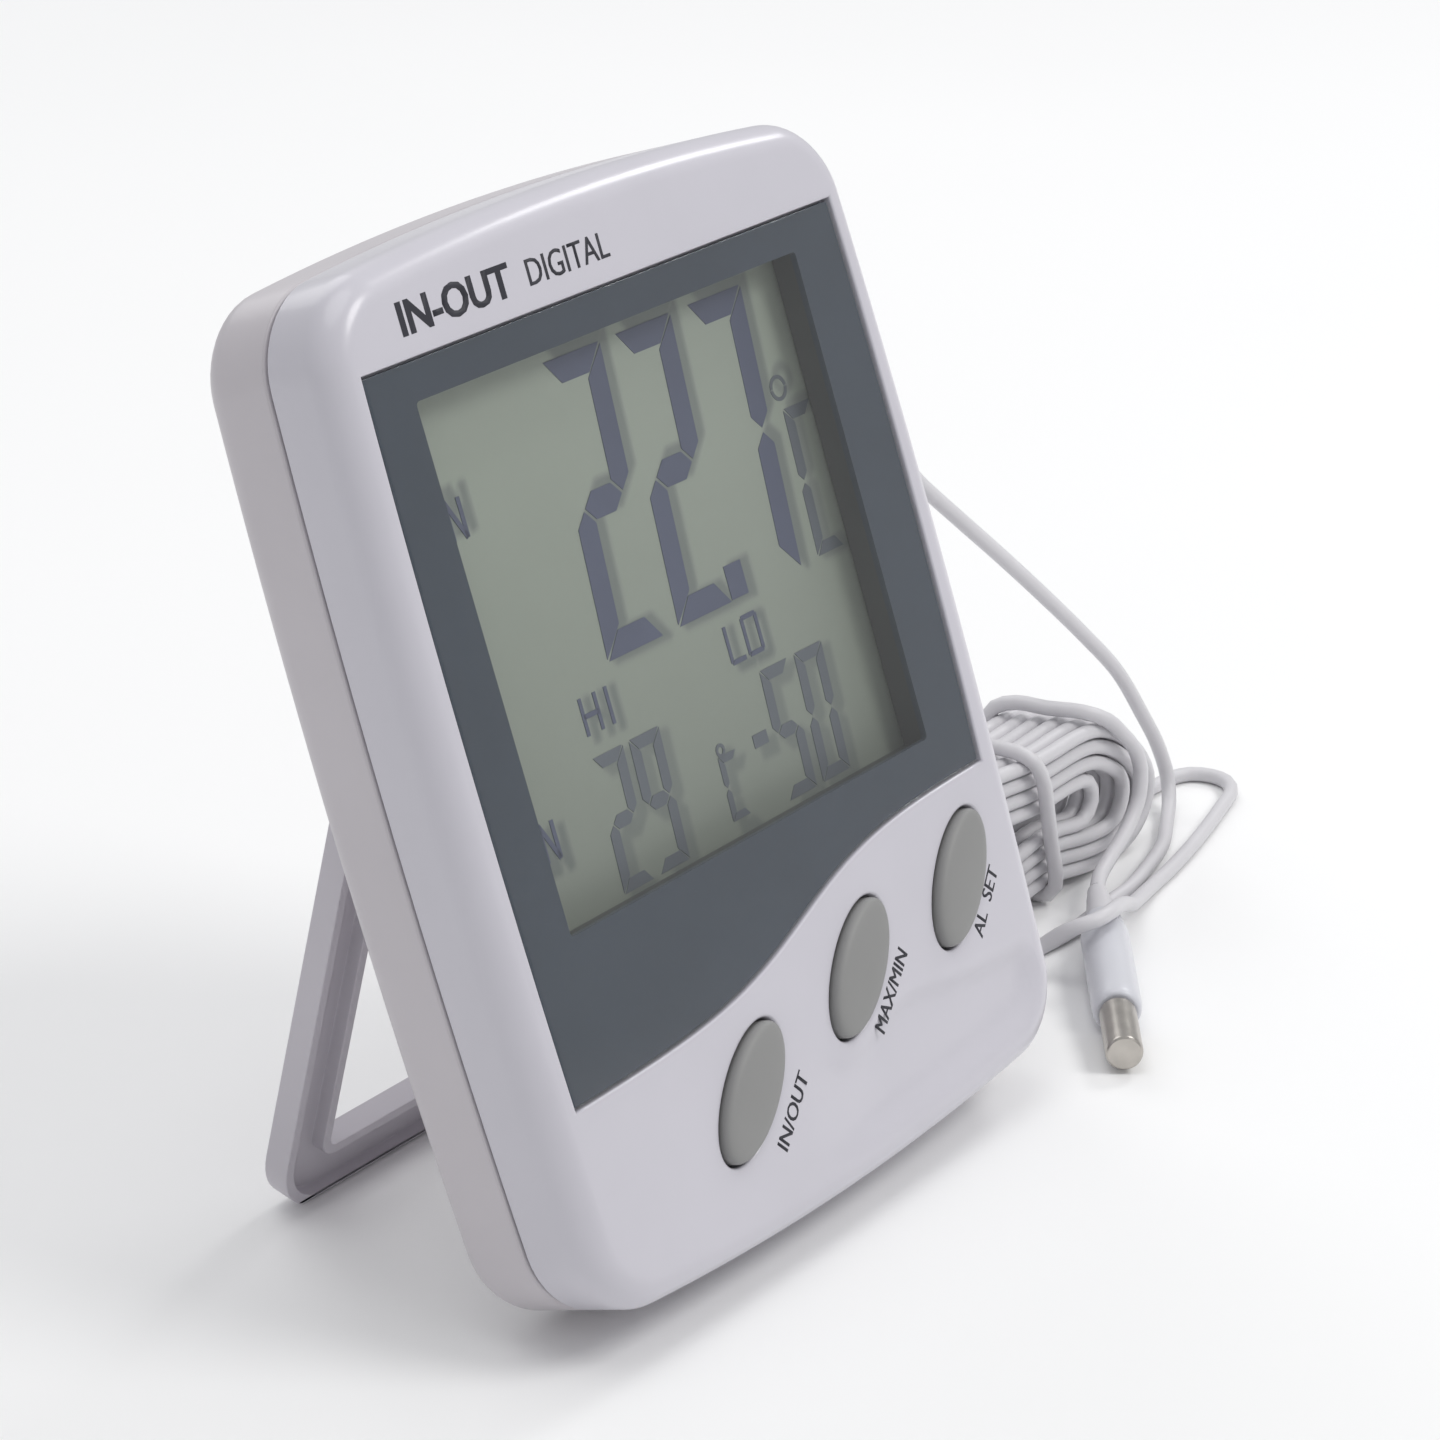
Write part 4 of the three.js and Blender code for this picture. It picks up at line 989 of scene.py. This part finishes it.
WRAP = [
    (75.6, 15.9, 1.6), (78.6, 15.3, 4.4), (79.6, 14.9, 10), (78.8, 15.0, 18.3), (78.4, 14.6, 21.4),
    (78.3, 12.6, 23.4), (78.4, 9.5, 23.8), (78.4, 6.0, 23.4), (78.9, 2.4, 23.3), (79.8, 0.2, 22.0),
    (80.9, -0.5, 19.2), (82.4, -0.3, 14.5), (83.9, -0.2, 9), (84.7, -0.4, 5.2), (85.0, -0.2, 3.1),
    (85.2, 1.1, 1.5),
    (85.4, 3.8, 1.07), (86.2, 9.5, 1.07), (87.3, 13.2, 1.5), (88.4, 14.7, 3.8), (89.1, 14.9, 8),
    (89.6, 14.9, 15), (90.4, 14.8, 20), (91.0, 13.6, 22.7), (91.8, 10.8, 23.8), (93.2, 7, 23.5),
    (95.2, 2.8, 23.3), (97.6, 0.4, 21.9), (100.2, -0.5, 19.2), (102.4, -1.0, 16.6),
]
LEAD_TO_PROBE = [
    (103.4, -1.4, 13.6), (102.6, -1.82, 10.22), (100.6, -2.12, 8.02), (97, -2.72, 6.12), (93, -3.32, 4.82),
    (89.2, -4.32, 4.17), (85.5, -6.17, 4.04),
]
HANK_LEFT, HANK_RIGHT, HANK_FOOT, HANK_TOP = 50, 112.3, 0.05, 23
HANK_FRONT = 1.95
RAIL_POINTS, TURN_POINTS = 240, 44
STRAND = 2.12  # from one turn's middle to the next
LAYERS, COLUMNS = 4, 5
TURNS = LAYERS * COLUMNS
TIE_X = 85
FLOOR_LIMIT = 1.02  # the lowest that the middle of the lead may lie


def bezier(a, b, c, d, count):
    """Points along a cubic curve from a to d, leaving out a."""
    out = []
    for i in range(1, count + 1):
        t = i / count
        out.append(tuple(p * (1 - t) ** 3 + 3 * q * t * (1 - t) ** 2 + 3 * r * t * t * (1 - t) + s * t ** 3
                         for p, q, r, s in zip(a, b, c, d)))
    return out


def hank_loop():
    """The hank's outer shape: along the foot, up the right end, back along the top, down the left."""
    radius = (HANK_TOP - HANK_FOOT) / 2
    right, top, foot = HANK_RIGHT, HANK_TOP, HANK_FOOT
    loop = [(HANK_LEFT + radius, foot)]
    loop += [(loop[0][0] + (right - 11 - loop[0][0]) * i / 10, foot) for i in range(1, 11)]
    loop += bezier((right - 11, foot), (right - 5, foot), (right, 3), (right, 8), 8)
    loop += bezier((right, 8), (right, 13), (right - 8, 18.5), (right - 12, 20.5), 7)
    loop += bezier((right - 12, 20.5), (right - 16, 22.5), (right - 20, top), (right - 25, top), 6)
    end = loop[-1]
    loop += [(end[0] + (HANK_LEFT + radius - end[0]) * i / 8, top) for i in range(1, 9)]
    return loop + arc(HANK_LEFT + radius, foot + radius, radius, 90, 180, 20)[1:-1]


def along(loop, share):
    """The point that share of the way round a closed loop."""
    lengths = [math.dist(a, b) for a, b in zip(loop, loop[1:] + loop[:1])]
    goal = (share % 1.0) * sum(lengths)
    for i, length in enumerate(lengths):
        if goal <= length:
            a, b = loop[i], loop[(i + 1) % len(loop)]
            t = goal / max(length, 1e-9)
            return (a[0] + (b[0] - a[0]) * t, a[1] + (b[1] - a[1]) * t)
        goal -= length
    return loop[0]


def place(turn):
    """Layer (0 is outermost) and column of a turn: each column is wound in, then the next out."""
    if turn >= TURNS:
        return 0, COLUMNS
    column, step = divmod(turn, LAYERS)
    return (step if column % 2 == 0 else LAYERS - 1 - step), column


def rounded(loop, tightest):
    """The loop resampled evenly, then relaxed where it bends more tightly than the cord can."""
    span, passes = 5, 2500
    points = [along(loop, i / RAIL_POINTS) for i in range(RAIL_POINTS)]
    for _ in range(passes):
        moved = list(points)
        for i, (x, z) in enumerate(points):
            (ax, az), (bx, bz) = points[i - span], points[(i + span) % RAIL_POINTS]
            ux, uz, vx, vz = x - ax, z - az, bx - x, bz - z
            turn = abs(math.atan2(ux * vz - uz * vx, ux * vx + uz * vz))
            if turn * tightest > (math.hypot(ux, uz) + math.hypot(vx, vz)) / 2:
                (cx, cz), (dx, dz) = points[i - 1], points[(i + 1) % RAIL_POINTS]
                moved[i] = ((x + cx + dx) / 3, (z + cz + dz) / 3)
        if moved == points:
            break
        points = moved
    return points


def settle(x, y, z, turn):
    """Loosens a turn of the hank and lets the tie nip it: the lead passes under and over it there."""
    sway = 0.7
    nip = math.exp(-(((x - TIE_X) / 9) ** 2))
    upper = ease((z - 8) / 7)
    z += 2.1 * nip * (1 - upper) - 1.2 * nip * upper
    y += sway * noise.noise(Vector((x * 0.045, turn * 0.13, z * 0.02))) * (1 - nip)
    lift = noise.noise(Vector((x * 0.04, y * 0.05 + 9, turn * 0.11)))
    z += sway * upper * lift * (1 - nip) * ease((104 - x) / 8)
    return (x, y, max(1.07, z))


def hank_turns():
    """Each column is wound inwards and the next outwards, crossing over at the hidden left end."""
    outer = hank_loop()[::-1]
    rails = [rounded(offset(outer, 1.1 + STRAND * layer), 3.9) for layer in range(LAYERS)]
    starts = [min(range(RAIL_POINTS), key=lambda k: math.dist(rail[k], (51.3 + STRAND * layer, 11)))
              for layer, rail in enumerate(rails)]
    points = []
    for turn in range(TURNS + 1):
        layer, column = place(turn)
        next_layer, next_column = place(turn + 1)
        for i in range(TURN_POINTS):
            share = i / TURN_POINTS
            shift = ease((share - 0.72) / 0.28)
            back = ease((share - 0.68) / 0.12) if turn == TURNS - 1 else shift
            here = along(rails[layer], starts[layer] / RAIL_POINTS + share)
            there = along(rails[next_layer], starts[next_layer] / RAIL_POINTS + share)
            x = here[0] + (there[0] - here[0]) * shift
            z = here[1] + (there[1] - here[1]) * shift
            if turn == TURNS and (x > 107 or z < 13 and i > TURN_POINTS / 6):
                return points
            y = HANK_FRONT + STRAND * (column + (next_column - column) * back)
            points.append(settle(x, y, z, turn))
    return points


def mix(p, q, start, end, t):
    """The point that t marks on the line from p, where t is start, to q, where it is end."""
    return p * ((end - t) / (end - start)) + q * ((t - start) / (end - start))


def centripetal(points, step):
    """A smooth line through the points, sampled about every step."""
    pts = [Vector(p) for p in points]
    pts = [pts[0] * 2 - pts[1], *pts, pts[-1] * 2 - pts[-2]]
    out = []
    for i in range(1, len(pts) - 2):
        p0, p1, p2, p3 = pts[i - 1 : i + 3]
        t0 = 0.0
        t1 = t0 + max(1e-4, (p1 - p0).length ** 0.5)
        t2 = t1 + max(1e-4, (p2 - p1).length ** 0.5)
        t3 = t2 + max(1e-4, (p3 - p2).length ** 0.5)
        count = max(1, round((p2 - p1).length / step))
        for k in range(count):
            t = t1 + (t2 - t1) * k / count
            a1 = mix(p0, p1, t0, t1, t)
            a2 = mix(p1, p2, t1, t2, t)
            a3 = mix(p2, p3, t2, t3, t)
            out.append(mix(mix(a1, a2, t0, t2, t), mix(a2, a3, t1, t3, t), t1, t2, t))
    out.append(pts[-2])
    return out


def lead(pieces):
    """The whole lead as one curve; pieces, what it runs into at its two ends, is not used."""
    route = LEAD_TO_HANK + hank_turns() + LEAD_LOOP + WRAP + LEAD_TO_PROBE
    line = [Vector((p.x, p.y, max(p.z, FLOOR_LIMIT))) for p in centripetal(route, 1.5)]
    curve = bpy.data.curves.new("sensor_lead", "CURVE")
    curve.dimensions = "3D"
    spline = curve.splines.new("POLY")
    spline.points.add(len(line) - 1)
    for point, p in zip(spline.points, line):
        point.co = (*(p * MM), 1)
    curve.bevel_depth = 0.001
    curve.bevel_resolution = 3
    curve.use_fill_caps = True
    obj = link("sensor_lead", curve)
    curve.materials.append(CORD_WHITE)
    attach(obj, "case")
    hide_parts("sensor_cord", "sensor_cord_loop", "sensor_cord_end", "cord_hank")


# ---- stage ----


def stage():
    camera = bpy.data.cameras.new("camera")
    camera.lens = 111.5
    camera.sensor_width = 36
    camera.clip_start = 0.01
    obj = link("camera", camera)
    forward = Vector((0.7442, 0.5468, -0.3836)).normalized()
    right = Vector((0.5922, -0.8058, 0)).normalized()
    up = right.cross(forward)
    turn = Matrix((right, up, -forward)).transposed().to_4x4()
    obj.matrix_world = Matrix.Translation((-0.36227, -0.27519, 0.24369)) @ turn
    bpy.context.scene.camera = obj

    n = Nodes("floor_paper")
    n.surface("Base Color", n.ramp(n.noise(3, 3), 0.3, 0.7, (0.93, 0.93, 0.93), (0.95, 0.95, 0.95)))
    n.surface("Roughness", 0.9)
    reach = 6000
    corners = [(-reach, -reach, 0), (reach, -reach, 0), (reach, reach, 0), (-reach, reach, 0)]
    floor = linked_mesh("floor", corners, [(0, 1, 2, 3)])
    floor.data.materials.append(n.material)

    world = bpy.data.worlds.new("studio")
    bpy.context.scene.world = world
    world.use_nodes = True
    sky = world.node_tree.nodes["Background"].inputs
    sky["Color"].default_value = (0.97, 0.98, 1.0, 1)
    sky["Strength"].default_value = 0.5
    target = Vector((0.02, 0, 0.05))
    for name, at, size, power, colour in (
        ("key", (0.35, -0.75, 0.95), 0.5, 4.6, (1.0, 0.99, 0.97)),
        ("top", (-0.1, 0.1, 1.1), 0.8, 2.6, (1.0, 1.0, 1.0)),
        ("right", (0.95, -0.06, 0.85), 0.32, 2.2, (1.0, 1.0, 1.0)),
        ("back", (0.4, 0.9, 0.7), 0.7, 1.6, (1.0, 1.0, 1.0)),
    ):
        light = bpy.data.lights.new(name, "AREA")
        light.shape = "DISK"
        light.size = size
        light.energy = power
        light.color = colour
        lamp = link(name, light)
        lamp.location = at
        lamp.rotation_euler = (target - Vector(at)).to_track_quat("-Z", "Y").to_euler()
    bpy.context.scene.view_settings.view_transform = "Standard"


stage()
lead([grommet(), *probe()])
front_case()
rear_cover()
display()
segments()
keys()
lettering()
kickstand()
battery_door()

bpy.context.view_layer.update()
